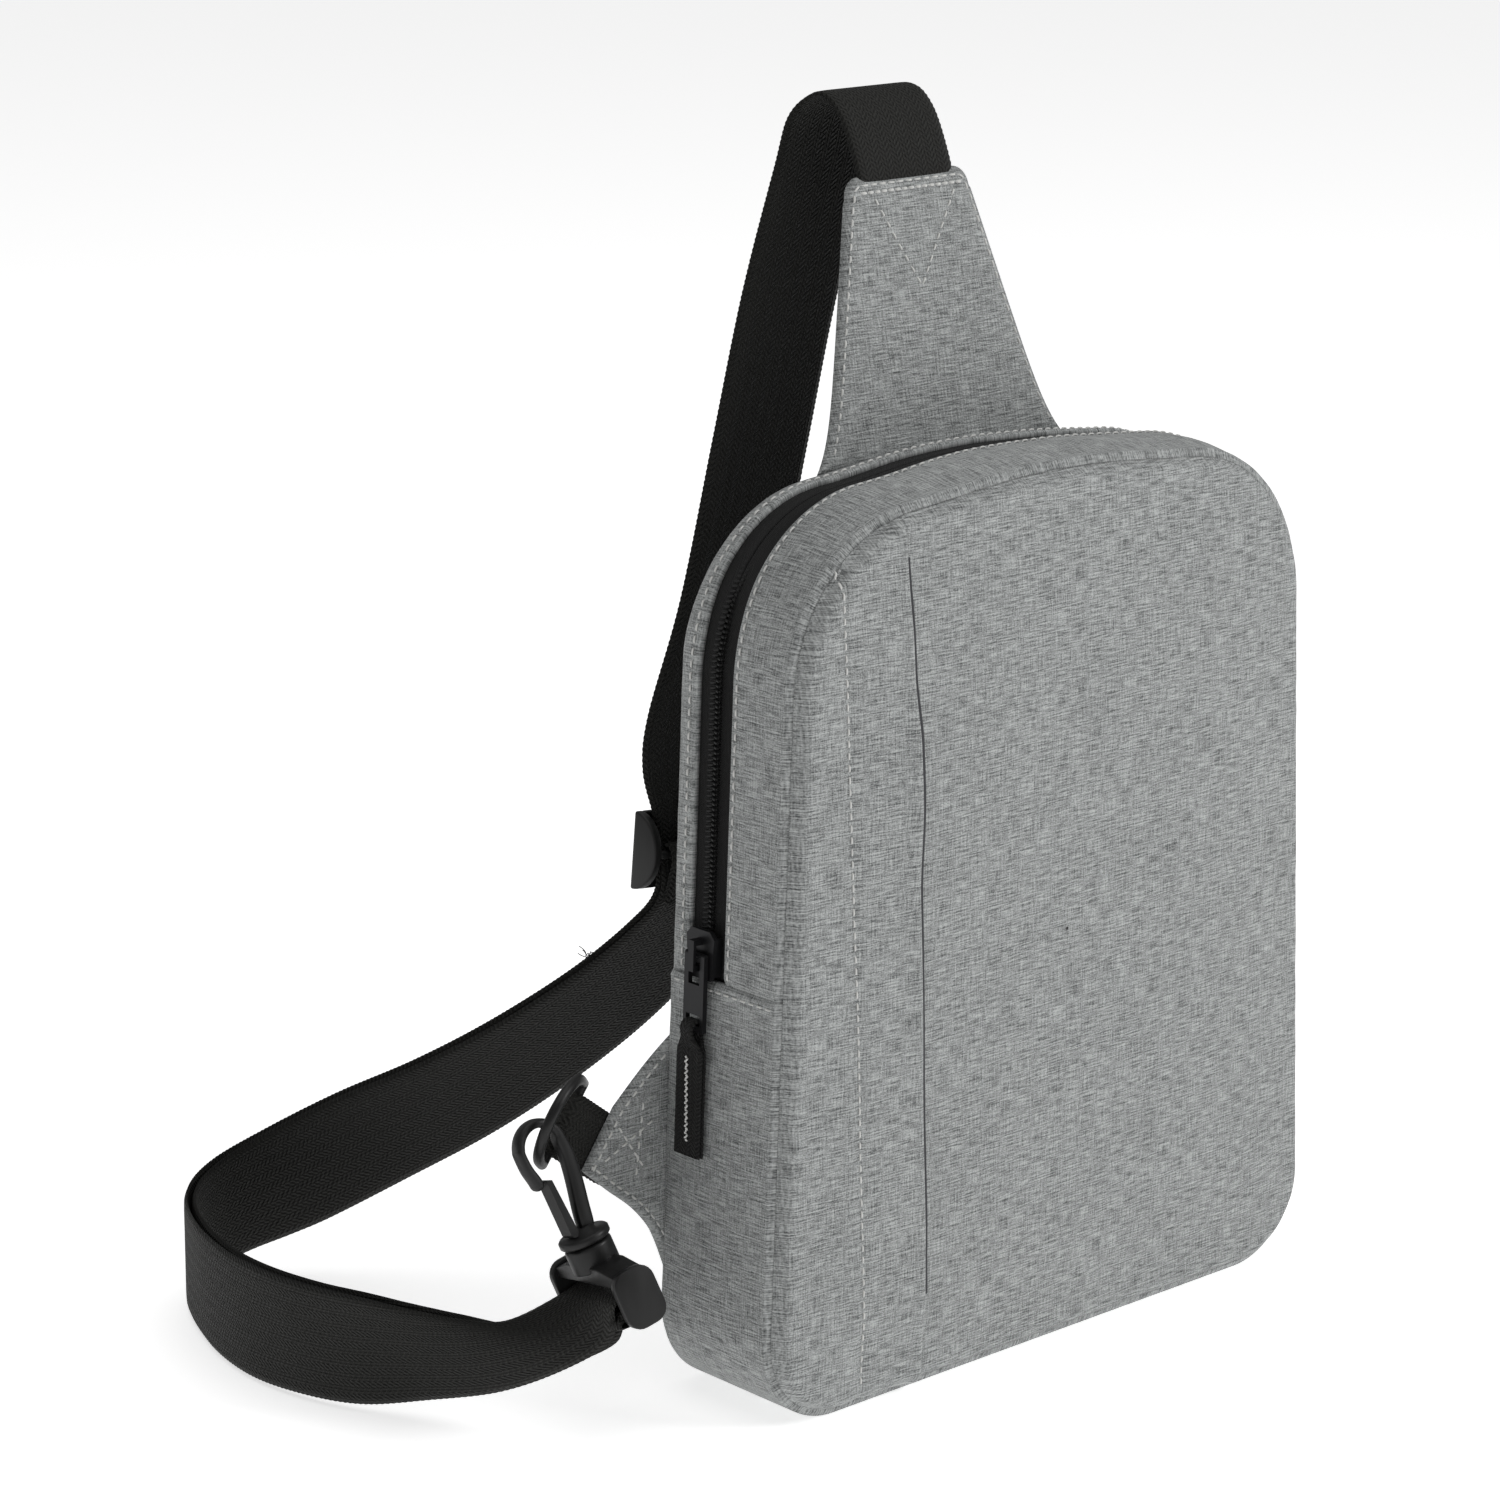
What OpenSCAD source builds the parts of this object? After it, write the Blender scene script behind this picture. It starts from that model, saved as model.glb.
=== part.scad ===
// Sling bag with an all-round zip, a webbing shoulder strap and a swivel snap hook.
// +X to the right of the front panel, the front panel faces -Y, +Z up.
// The origin is the middle of the flat base.

/* [Bag] */
// Distance between the front and the rear seam
depth = 47; // [42:1:60]
// Half width of the front seam at the bottom corners
half_bottom = 108.5; // [100:0.5:114]
// Half width of the front seam at the top corners
half_top = 100.5; // [96:0.5:104]
// Height of the front seam at the top corners
seam_top = 257; // [250:1:266]
// Height of the seam above the floor
seam_bottom = 3; // [3:0.5:4]
// Radius of the bottom corners
corner_bottom = 24; // [18:1:30]
// Radius of the top corners
corner_top = 47; // [38:1:52]
// Thickness of a padded panel
panel_t = 2.2; // [1.6:0.1:3]
// Thickness of the gusset
gusset_t = 2; // [1.6:0.1:2.4]

/* [Front pocket] */
// Place of the free edge of the placket, half way up
placket_edge = -60; // [-66:1:-50]
// Place of the stitching that holds the placket, half way up
placket_stitch = -83; // [-88:1:-76]

/* [Zip] */
// Height at which the zip starts on both sides
zip_z = 127; // [110:1:140]
// Distance of the middle of the zip behind the middle of the gusset
zip_y = 7.5; // [5:0.1:8]
// Width of the zip seen between the gusset strips
zip_gap = 14.3; // [13.5:0.1:16]
// Width of the closed coil
coil_w = 7.4; // [6.4:0.1:7.6]

/* [Strap] */
// Width of the shoulder webbing
strap_w = 38; // [36:0.5:39]
// Thickness of the shoulder webbing
strap_t = 1.6; // [1.2:0.1:1.8]
// Width of the side webbing loop
loop_w = 19; // [18:0.5:20.5]

/* [D-ring and hook] */
// Wire diameter of the D-ring
ring_wire = 3.2; // [2.8:0.1:3.4]
// Inner width of the D-ring
ring_inner = 22; // [21.5:0.1:23]
// Thickness of the hook
hook_t = 4.5; // [4.2:0.1:4.8]

/* [Hidden] */
$fn = 64;

heather = [0.55, 0.56, 0.56];
black_web = [0.10, 0.10, 0.09];
black_plastic = [0.07, 0.07, 0.07];

fit = 0.05;        // radial clearance of a running fit
half = depth / 2;
flap_t = 1.3;      // thickness of the placket's folded flap
placket_mid = 130;
placket_slant = 2; // degrees

// ---- outline of the front seam: circles [x, z, r] in anticlockwise order ----
arch_r = 300;
arch_rise = 4;
corner_bx = half_bottom - corner_bottom;
corner_bz = seam_bottom + corner_bottom;
corner_tx = half_top - corner_top;
corner_tz = seam_top - corner_top;
ROUNDS = [[-corner_bx, corner_bz, corner_bottom], [corner_bx, corner_bz, corner_bottom],
          [corner_tx, corner_tz, corner_top], [0, seam_top + arch_rise - arch_r, arch_r],
          [-corner_tx, corner_tz, corner_top]];

function centre(c) = [c[0], c[1]];
// Outward normal of the line that touches circles a and b from outside
function touch_normal(a, b) =
    let (d = centre(b) - centre(a), lift = asin((a[2] - b[2]) / norm(d)), t = atan2(d[1], d[0]) - 90 + lift)
    [cos(t), sin(t)];
function touch_points(a, b, grow) =
    let (n = touch_normal(a, b)) [centre(a) + (a[2] + grow) * n, centre(b) + (b[2] + grow) * n];

// Lean of the straight side from the vertical, and the side line's point at a height
side_n = touch_normal(ROUNDS[4], ROUNDS[0]);
side_lean = 90 - atan2(-side_n[0], side_n[1]);
side_foot = centre(ROUNDS[0]) + corner_bottom * side_n;
function side_at(z) = [side_foot[0] + (z - side_foot[1]) * side_n[1] / -side_n[0], z];

// ---- zip ----
layer = 0.75;                       // thickness of the zip tape
tape_in = 0.2;                      // the zip tape lies just outside the seam line
coil_in = tape_in + layer + 0.05;
coil_out = coil_in + 2.2;
gusset_in = 1;
gusset_out = gusset_in + gusset_t;
panel_out = 0.8;                    // the panels end just outside the seam line
split = 0.4;                        // half the gap between the two coils
strip_front_y = zip_y - zip_gap / 2;
strip_rear_y = zip_y + zip_gap / 2;

// ---- slider, in its own frame: -X outwards, +Z along the zip ----
slider_l = 14;
slider_w = coil_w + 4.2;
slider_z = zip_z + 0.6 + slider_l / 2;
slider_floor = coil_out + 0.3;      // underside of the top plate
slider_top = slider_floor + 1.5;
pivot_out = slider_top + 1.25;      // pull pivot, out from the side line
pull_l = 21;
pull_w = 8.2;
pull_t = 1.5;
ribbon_w = 11;
ribbon_l = 37;

// ---- hook ----
hook_at = [-143, 6, 42];            // middle of the crossbar that carries the strap
hook_turn = [-18, -15, 0];          // lean of the swivel's axis
base_turn = -10;                    // turn of the base and of the hook about that axis
hook_swivel = 0;
bar_r = 3;
slot_w = 39;
barrel_r = 7;
stud_r = 4;
eye_z = 48;
eye_r = 5.5;
eye_wall = 2.8;
eye_x = -1.5;

// ---- D-ring: bar along its own X, bow towards its own +Y ----
ring_at = [-143.8, 25.8, 88.5];
loop_turn = [0, 127, 0];
ring_tilt = -125;

// ---------------------------------------------------------------- helpers

// A flat outline in X and Z, from y0 back to y1
module slab(y0, y1) {
    translate([0, y1, 0]) rotate([90, 0, 0]) linear_extrude(y1 - y0) children();
}

// Straight sides a hair inside the circles, so that each line crosses its circles cleanly
module outline(grow = 0) {
    tuck = 0.02;
    pairs = [for (i = [0 : 4]) touch_points(ROUNDS[i], ROUNDS[(i + 1) % 5], grow)];
    reach = pairs[2][1][0] + 6;
    polygon([for (i = [0 : 4]) each touch_points(ROUNDS[i], ROUNDS[(i + 1) % 5], grow - tuck)]);
    for (i = [0, 1, 2, 4]) translate(centre(ROUNDS[i])) circle(ROUNDS[i][2] + grow);
    intersection() {
        translate(centre(ROUNDS[3])) circle(arch_r + grow, $fn = 192);
        translate([-reach, corner_tz]) square([2 * reach, 2 * corner_top]);
    }
}

// A band that follows the outline between two offsets
module band(inner, outer, y0, y1) {
    slab(y0, y1) difference() {
        outline(outer);
        outline(inner);
    }
}

module above(z) {
    intersection() {
        children();
        translate([-200, -100, z]) cube([400, 200, 300]);
    }
}

module below(z) {
    intersection() {
        children();
        translate([-200, -100, -50]) cube([400, 200, z + 50]);
    }
}

// Slider frame: its origin is on the side line at the middle of the zip
module at_slider(z = slider_z) {
    translate([side_at(z)[0], zip_y, z]) rotate([0, side_lean, 0]) children();
}

module at_hook() {
    translate(hook_at) rotate(hook_turn) children();
}

module at_base() {
    at_hook() rotate([0, 0, base_turn]) children();
}

module at_swivel() {
    at_hook() rotate([0, 0, hook_swivel]) children();
}

module at_ring() {
    translate(ring_at) rotate(loop_turn) rotate([ring_tilt, 0, 0]) children();
}

// ---------------------------------------------------------------- ribbon sweep

// Catmull-Rom point between p[i] and p[i + 1]
function spline(p, i, t) =
    let (n = len(p) - 1, a = p[max(i - 1, 0)], b = p[i], c = p[min(i + 1, n)], d = p[min(i + 2, n)])
    0.5 * (2 * b + (c - a) * t + (2 * a - 5 * b + 4 * c - d) * t * t + (3 * b - a - 3 * c + d) * t * t * t);

function smooth(p, steps) =
    concat([for (i = [0 : len(p) - 2], k = [0 : steps - 1]) spline(p, i, k / steps)], [p[len(p) - 1]]);

function unit(v) = v / norm(v);

// Unit normal of a ribbon at ring i, from its two edge lines
function face_normal(l, r, i) =
    let (n = len(l) - 1, a = max(i - 1, 0), b = min(i + 1, n), run = l[b] + r[b] - l[a] - r[a])
    unit(cross(r[i] - l[i], run));

// A flat ribbon of thickness t between the edge lines l and r
module ribbon(l, r, t) {
    n = len(l) - 1;
    rings = [for (i = [0 : n]) let (v = t / 2 * face_normal(l, r, i)) [l[i] - v, r[i] - v, r[i] + v, l[i] + v]];
    sides = [for (i = [0 : n - 1], k = [0 : 3]) let (a = 4 * i + k, b = 4 * i + (k + 1) % 4)
             each [[a, a + 4, b + 4], [a, b + 4, b]]];
    ends = [[0, 1, 2], [0, 2, 3], [4 * n + 2, 4 * n + 1, 4 * n], [4 * n + 3, 4 * n + 2, 4 * n]];
    polyhedron([for (ring = rings) each ring], concat(sides, ends));
}

// The strap's route as pairs of edge points, chosen by hand: out of the top tab, over, and down
// behind the bag to the slider buckle
UPPER = [[[-20.5, 35, 316], [17.5, 35, 316]], [[-20.5, 38.2, 331], [17.5, 38.2, 331]],
         [[-20.5, 40.4, 341], [17.5, 40.4, 341]],
         [[-22, 46, 356], [16, 46, 356]], [[-24, 53, 362], [14, 53, 362]],
         [[-28, 60, 356], [10, 60, 356]], [[-32, 62, 341], [6, 62, 338]],
         [[-46, 60, 307], [-9, 60, 301]], [[-60, 57, 267], [-23, 57, 260]],
         [[-76, 53, 223], [-39, 53, 216]], [[-91, 50, 192], [-53, 51, 187]],
         [[-94, 49, 177], [-56, 50, 173]], [[-90.6, 49, 164], [-52.8, 49, 161]]];
// from the buckle out to the left, round the bend and back to the hook
LOWER = [[[-90.6, 49, 164], [-52.8, 49, 161]], [[-90, 49, 152], [-52.5, 49, 148]],
         [[-89.5, 49.4, 140], [-52.5, 49.4, 135]], [[-92, 58, 129], [-58, 57, 118]],
         [[-99, 76, 112], [-67, 75, 94]],
         [[-110, 100, 93], [-79, 97, 71]], [[-120, 124, 77], [-93, 119, 51]],
         [[-131, 148, 63], [-108, 143, 33]], [[-145, 166, 50], [-127, 164, 17]],
         [[-161, 172, 42], [-151, 180, 6]], [[-176, 163, 39], [-173, 168, 2]],
         [[-188, 142, 38.5], [-187, 139, 1]], [[-195, 118, 38.5], [-193, 111, 1]],
         [[-197, 96, 39], [-191, 88, 1.5]], [[-194, 76, 39], [-184, 68, 2.5]],
         [[-189, 59, 39], [-173, 51, 6]], [[-181, 46, 37], [-163, 31, 12]],
         [[-172, 36, 35], [-156, 11, 23]], [[-162, 29, 34], [-151, -4, 35]]];
// into the slot of the hook, in the hook's own frame: far edge and near edge
INTO_HOOK = [[[-7, 19, 3.2], [-7, -19, 3.2]], [[0, 19, 3.9], [0, -19, 3.9]]];

function turn_x(v, a) = [v[0], v[1] * cos(a) - v[2] * sin(a), v[1] * sin(a) + v[2] * cos(a)];
function turn_y(v, a) = [v[0] * cos(a) + v[2] * sin(a), v[1], v[2] * cos(a) - v[0] * sin(a)];
function turn_z(v, a) = [v[0] * cos(a) - v[1] * sin(a), v[0] * sin(a) + v[1] * cos(a), v[2]];
function from_base(v) = hook_at + turn_y(turn_x(turn_z(v, base_turn), hook_turn[0]), hook_turn[1]);

// ---------------------------------------------------------------- shell

// The half plane to the right of a slightly slanted line
module right_of(x) {
    translate([x, placket_mid]) rotate(placket_slant) translate([0, -300]) square([400, 600]);
}

// A padded panel: its lower edge sags to the floor between the bottom corners
module panel_outline() {
    outline(panel_out);
    translate([-corner_bx, 0]) square([2 * corner_bx, corner_bottom]);
}

module front_panel() {
    color(heather) slab(-half - panel_t, -half) intersection() {
        panel_outline();
        right_of(placket_stitch);
    }
}

module front_side_panel() {
    color(heather) {
        slab(-half - panel_t, -half) difference() {
            panel_outline();
            right_of(placket_stitch - 0.1);
        }
        slab(-half - panel_t - flap_t, -half - panel_t) difference() {
            panel_outline();
            right_of(placket_edge);
        }
    }
}

module pocket_lining() {
    color("dimgray") slab(-half + 0.1, -half + 1.1) translate([placket_stitch + 6, 34]) square([146, 190]);
}

module back_panel() {
    color(heather) slab(half, half + panel_t) panel_outline();
}

module lower_gusset() {
    color(heather) below(zip_z) band(gusset_in, gusset_out, -half, half);
}

module gusset_front_strip() {
    color(heather) above(zip_z) band(gusset_in, gusset_out, -half, strip_front_y);
}

module gusset_rear_strip() {
    color(heather) above(zip_z) band(gusset_in, gusset_out, strip_rear_y, half);
}

module zip_tape_front() {
    color(black_web) above(zip_z - 4) band(tape_in, tape_in + layer, strip_front_y - 5, zip_y - split);
}

module zip_tape_rear() {
    color(black_web) above(zip_z - 4) band(tape_in, tape_in + layer, zip_y + split, strip_rear_y + 2.5);
}

module zip_coil_front() {
    color(black_plastic) above(zip_z + 0.2) band(coil_in, coil_out, zip_y - coil_w / 2, zip_y - split);
}

module zip_coil_rear() {
    color(black_plastic) above(zip_z + 0.2) band(coil_in, coil_out, zip_y + split, zip_y + coil_w / 2);
}

module binding(y0, y1) {
    color(black_web) band(-1.6, 0, y0, y1);
}

module main_lining() {
    color("dimgray") difference() {
        slab(-half + 1.4, half - 0.4) outline(-2);
        slab(-half + 2.2, half - 1.2) outline(-2.8);
        above(zip_z - 6) band(-4, 0, strip_front_y - 1, strip_rear_y + 1);
    }
}

// ---------------------------------------------------------------- zip slider and pull

module slider_plate(x, t, w) {
    translate([-x - t, 0, 0]) rotate([90, 0, 90]) linear_extrude(t)
        polygon([[-w / 2, slider_l / 2 - 2], [-w / 2 + 2, slider_l / 2], [w / 2 - 2, slider_l / 2],
                 [w / 2, slider_l / 2 - 2], [w / 2 - 1.2, -slider_l / 2], [-w / 2 + 1.2, -slider_l / 2]]);
}

module zip_slider() {
    lip_t = 1;
    color(black_plastic) at_slider() {
        slider_plate(slider_floor, slider_top - slider_floor, slider_w);
        for (s = [-1, 1]) translate([-slider_floor - 0.1, s * (coil_w / 2 + 0.3 + lip_t / 2) - lip_t / 2,
                                     -slider_l / 2 + 1])
            cube([slider_floor - coil_in - 0.2, lip_t, slider_l - 3]);
        translate([-slider_floor - 0.1, -0.25, -slider_l / 2 + 1]) cube([slider_floor + 0.4, 0.5, slider_l - 4]);
        slider_plate(-1.4, 1.2, slider_w - 1.5);
        bridge();
    }
}

// Bridge that holds the pull: two feet and a bar over them
module bridge() {
    w = 2.2;
    l = 9;
    h = 3.4;
    difference() {
        translate([-slider_top - h, -w / 2, -l / 2]) cube([h + 0.1, w, l]);
        translate([-slider_top - h + 1, -w, -l / 2 + 1.6]) cube([h - 1, 2 * w, l - 3.2]);
    }
}

// Pull in its own frame: the pivot is the origin and the plate hangs along -Z
module zip_pull() {
    window_w = 4.6;
    window_l = 8.4;
    color(black_plastic) at_slider() translate([-pivot_out, 0, 0]) {
        difference() {
            translate([-pull_t / 2, -pull_w / 2, -pull_l - 1]) cube([pull_t, pull_w, pull_l + 1]);
            translate([-pull_t, -window_w / 2, -window_l]) cube([2 * pull_t, window_w, window_l + 1]);
            translate([-pull_t, -2.9, -pull_l + 0.9]) cube([2 * pull_t, 5.8, 3]);
        }
        rotate([90, 0, 0]) cylinder(r = pull_t / 2, h = pull_w, center = true);
    }
}

// Ribbon folded through the hole of the pull
module pull_ribbon() {
    loop_in = 1.65;
    loop_out = 2.75;
    color(black_web) at_slider() translate([-pivot_out, 0, -pull_l]) {
        rotate([90, 0, 0]) difference() {
            cylinder(r = loop_out, h = 5, center = true);
            cylinder(r = loop_in, h = 6, center = true);
        }
        translate([-1.3, -2.5, -4.5]) cube([2.6, 5, 2.6]);
        translate([-1.3, -ribbon_w / 2, -ribbon_l]) cube([2.6, ribbon_w, ribbon_l - 3.6]);
    }
}

// ---------------------------------------------------------------- tabs

tab_x = -1.5;
tab_lean = -12;
tab_t = 3.8;

module top_tab() {
    foot = 49;
    head = 23.5;
    r = 6;
    rise = 84;
    color(heather) difference() {
        translate([tab_x, half, 262]) rotate([tab_lean, 0, 0]) slab(-tab_t / 2, tab_t / 2) {
            polygon([[-foot, -4], [foot, -4], [head, rise - r - 5], [head - r, rise - 5],
                     [r - head, rise - 5], [-head, rise - r - 5]]);
            for (s = [-1, 1]) translate([s * (head - r), rise - r - 5]) circle(r);
        }
        slab(-half, half + 20) outline(gusset_out + 0.1);
        translate([tab_x, 40.4, 341]) rotate([tab_lean, 0, 0])
            translate([-strap_w / 2 - 0.4, -strap_t / 2 - 0.4, -27]) cube([strap_w + 0.8, strap_t + 0.8, 40]);
    }
}

side_tab_t = 4.6;
tongue_l = 12;

module side_tab() {
    color(heather) difference() {
        slab(half - side_tab_t / 2, half + side_tab_t / 2)
            polygon([[-100, 106], [-110, 105], [-127.4, 90], [-139.6, 73.6], [-118, 56], [-110, 44], [-100, 26]]);
        slab(-half, half + 20) outline(gusset_out + 0.1);
        at_loop() translate([-loop_w / 2 - 0.1, -1.5, -1]) cube([loop_w + 0.2, 3, 41]);
        at_loop() translate([-loop_w, -4, -loop_l - 6]) cube([2 * loop_w, 8, loop_l + 5.8]);
    }
}

// Side loop frame: X along the end of the tab, -Z out towards the ring
module at_loop() {
    translate(ring_at) rotate(loop_turn) translate([0, 0, loop_l]) children();
}

loop_l = 13.5;
loop_bore = ring_wire / 2 + fit;

// Webbing loop round the ring's bar, sewn between the layers of the side tab
module side_loop() {
    color(black_web) at_loop() {
        rotate([90, 0, 90]) translate([0, 0, -loop_w / 2]) linear_extrude(loop_w) difference() {
            union() {
                polygon([[-3.1, -loop_l], [3.1, -loop_l], [1.4, -0.1], [1.4, tongue_l], [-1.4, tongue_l], [-1.4, -0.1]]);
                translate([0, -loop_l]) circle(3.1);
            }
            translate([0, -loop_l]) circle(loop_bore);
        }
    }
}

// ---------------------------------------------------------------- ring and hook

module ring_arc(r, a0, a1) {
    rotate([0, 0, a0]) rotate_extrude(angle = a1 - a0) translate([r, 0]) circle(ring_wire / 2, $fn = 24);
}

module d_ring() {
    side = ring_inner / 2 + ring_wire / 2;
    color(black_plastic) at_ring() {
        rotate([0, 90, 0]) cylinder(d = ring_wire, h = 2 * side, center = true);
        for (s = [-1, 1]) translate([s * side, 0, 0]) sphere(d = ring_wire, $fn = 32);
        for (s = [-1, 1]) translate([s * side, 0, 0]) rotate([-90, 0, 0]) cylinder(d = ring_wire, h = 4);
        translate([0, 4, 0]) ring_arc(side, 0, 180);
    }
}

// Base of the hook: crossbar, two cheeks, a bridge and the barrel that the hook turns in
module hook_base() {
    cheek = 2.6;             // thickness of a cheek
    wide = slot_w + 2 * cheek;
    bridge_z = 7;            // underside of the bridge over the slot
    bridge_h = 5;
    barrel_top = 18;
    pocket_z = 9.8;          // floor of the pocket for the stud's collar
    color(black_plastic) at_base() difference() {
        union() {
            rotate([90, 0, 0]) cylinder(r = bar_r, h = slot_w + 1, center = true);
            for (s = [-1, 1]) translate([-5, s * (wide / 2 - cheek / 2) - cheek / 2, -4]) cube([9, cheek, 13]);
            translate([-5, -wide / 2, bridge_z]) cube([10, wide, bridge_h]);
            translate([0, 0, barrel_top - 7]) cylinder(r = barrel_r, h = 7);
        }
        translate([0, 0, pocket_z]) cylinder(r = stud_r + fit, h = 10);
        translate([0, 0, pocket_z]) cylinder(r = stud_r + 1.6, h = 4);
        translate([-barrel_r - 1, -2.5, 12.2]) cube([barrel_r, 5, 1.4]);
    }
}

// Hook in its own frame, on the swivel's axis
module hook_body() {
    collar_z = 10.1;
    flange_z = 18.3;
    color(black_plastic) at_swivel() {
        translate([0, 0, collar_z]) cylinder(r = stud_r + 1.3, h = 3.4);
        translate([0, 0, 13]) cylinder(r = stud_r, h = 6);
        translate([0, 0, flange_z]) cylinder(r = 7.6, h = 2.6);
        slab(-hook_t / 2, hook_t / 2) {
            polygon([[-1.5, 20], [4.2, 20], [7.6, 40], [eye_x + eye_r + eye_wall, eye_z],
                     [eye_x + eye_r, eye_z], [3, 40], [0.6, 30]]);
            difference() {
                translate([eye_x, eye_z]) circle(eye_r + eye_wall);
                translate([eye_x, eye_z]) circle(eye_r);
                translate([eye_x - eye_r, eye_z - 20]) square([eye_r + 3.6, 20]);
            }
            polygon([[eye_x - eye_r - eye_wall, eye_z], [eye_x - eye_r, eye_z], [-5.6, 38.5], [-6.6, 36.5], [-8, 37]]);
        }
    }
}

gate_at = [-3.6, 22.6];
gate_r = 1.3;

// Spring gate: a tongue from the foot of the shank up to the nose
module hook_gate() {
    color(black_plastic) at_swivel() slab(-2.5, 2.5) {
        translate(gate_at) circle(gate_r);
        polygon([gate_at + [-gate_r, 0], gate_at + [gate_r, 0], [-3.4, 39], [-5.1, 39.6]]);
    }
}

// ---------------------------------------------------------------- strap

steps = 3;
wrap_r = bar_r + 0.1 + strap_t / 2;

function edges(side) = smooth(concat([for (p = LOWER) p[side]],
                                     [for (p = INTO_HOOK) from_base(p[side])]), steps);
BACK_L = edges(0);
BACK_R = edges(1);

module strap() {
    down_l = smooth([for (p = UPPER) p[0]], steps);
    down_r = smooth([for (p = UPPER) p[1]], steps);
    wrap = [for (a = [75 : -15 : -90]) wrap_r * [cos(a), sin(a)]];
    l = concat(down_l, [for (i = [1 : len(BACK_L) - 1]) BACK_L[i]],
               [for (p = wrap) from_base([p[0], strap_w / 2, p[1]])]);
    r = concat(down_r, [for (i = [1 : len(BACK_R) - 1]) BACK_R[i]],
               [for (p = wrap) from_base([p[0], -strap_w / 2, p[1]])]);
    color(black_web) ribbon(l, r, strap_t);
}

// Point of list p at a place between two of its entries
function between(p, s) = let (i = min(floor(s), len(p) - 2)) p[i] + (s - i) * (p[i + 1] - p[i]);
function lift_off(s) = face_normal(BACK_L, BACK_R, round(s));

// The end of the webbing comes back from the hook behind the main run, turns round the middle bar
// of the buckle and is sewn down. Each entry is [place along the main run, distance behind it].
last = len(BACK_L) - 1;
RETURN = concat([[6.4, 4.5], [5.2, 4.9], [4.4, 6.1], [3.7, 7.5], [3.1, 7.8], [2.6, 7.1], [2.38, 5.3],
                 [2.6, 3.5], [3.1, 2.8], [3.8, 2.5], [4.6, 2.4]],
                [for (s = [5 : last - 6]) [s, 2.4]],
                [for (s = [last - 5 : last - 2]) [s, 2.4 + 4.9 * pow((s - last + 6) / 6, 2)]]);

module strap_return() {
    hook_end = [[-8, -3], [-3, -wrap_r], [0, -wrap_r]];
    l = concat([for (q = RETURN) between(BACK_L, q[0]) - q[1] * lift_off(q[0])],
               [for (p = hook_end) from_base([p[0], strap_w / 2, p[1]])]);
    r = concat([for (q = RETURN) between(BACK_R, q[0]) - q[1] * lift_off(q[0])],
               [for (p = hook_end) from_base([p[0], -strap_w / 2, p[1]])]);
    color(black_web) ribbon(l, r, strap_t);
}

// Buckle frame: X along the bars, Y away from the bag, Z up the strap
buckle_at = 3;
module at_buckle() {
    l = BACK_L[buckle_at];
    r = BACK_R[buckle_at];
    x = unit(r - l);
    y = lift_off(buckle_at);
    z = cross(x, y);
    translate((l + r) / 2) rotate([atan2(y[2], z[2]), asin(-x[2]), atan2(x[1], x[0])]) children();
}

// Three-bar buckle: the outer bars lie behind the strap and the middle bar lies in front of it
module slider_buckle() {
    rail = 3.2;
    rail_x = strap_w / 2 + 2;
    long = 23;
    bar_y = 1.5;
    color(black_plastic) at_buckle() {
        for (s = [-1, 1]) {
            translate([s * (rail_x + rail / 2) - rail / 2, -6.8, -long / 2]) cube([rail, 10.4, long]);
            translate([-rail_x - 1, bar_y, s * (long / 2 - 2) - 2]) cube([2 * rail_x + 2, 2.1, 4]);
        }
        translate([0, -5.3, 0]) rotate([0, 90, 0]) cylinder(r = 1.3, h = 2 * rail_x + 2, center = true);
    }
}

// ---------------------------------------------------------------- assembly

front_panel();
front_side_panel();
pocket_lining();
back_panel();
lower_gusset();
gusset_front_strip();
gusset_rear_strip();
zip_tape_front();
zip_tape_rear();
zip_coil_front();
zip_coil_rear();
zip_slider();
zip_pull();
pull_ribbon();
binding(-half, -half + 8);  // binding_front
binding(half - 6, half);  // binding_rear
main_lining();
top_tab();
side_tab();
side_loop();
d_ring();
strap();
strap_return();
slider_buckle();
hook_base();
hook_body();
hook_gate();
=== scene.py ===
"""Sling bag: the soft pieces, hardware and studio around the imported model. Lengths are in millimetres."""
import math

import bpy
import numpy as np
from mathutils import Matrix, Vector, noise


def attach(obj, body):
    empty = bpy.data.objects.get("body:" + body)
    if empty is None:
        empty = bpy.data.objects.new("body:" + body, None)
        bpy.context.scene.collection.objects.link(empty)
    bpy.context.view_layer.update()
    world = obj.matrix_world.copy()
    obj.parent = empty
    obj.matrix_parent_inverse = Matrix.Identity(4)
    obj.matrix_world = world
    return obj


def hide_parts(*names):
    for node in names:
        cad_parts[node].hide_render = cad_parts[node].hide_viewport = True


# ---- driving sizes, as in the CAD ----
DEPTH = 47.0
HALF = DEPTH / 2
HALF_BOTTOM, HALF_TOP = 108.5, 100.5
SEAM_BOTTOM, SEAM_TOP = 3.0, 257.0
CORNER_BOTTOM, CORNER_TOP = 24.0, 47.0
ARCH_R, ARCH_RISE = 300.0, 4.0
PANEL_T = 2.2
GUSSET_T = 2.0
GUSSET_OUT = 3.0
ZIP_Z, ZIP_Y, ZIP_GAP = 127.0, 7.5, 14.3
COIL_W = 7.4
STRAP_W, STRAP_T = 38.0, 1.6
PLACKET_MID, PLACKET_SLANT = 130.0, math.radians(2)
PLACKET_EDGE, PLACKET_STITCH = -60.0, -83.0
EDGE_LIFT, GAPE_LIFT = 1.1, 2.0      # lift of the placket's free edge; more where the pocket gapes
PAINTED_SHADOW_LOW, PAINTED_SHADOW_HIGH = 30, 246        # ends of the dark lining strip beside that edge: painted shadow along the edge, and the dark inside of the pocket where it gapes
# how far the dark strip reaches past the placket's edge: the width of the painted shadow line
PAINTED_SHADOW_REACH = 2.6
MM = 0.001

# ---- camera ----
AZIMUTH, ELEVATION = -42.0, 14.94
CAMERA_AT = (-896.0, -887.5, 511.4)
LENS = 108.0

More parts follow.
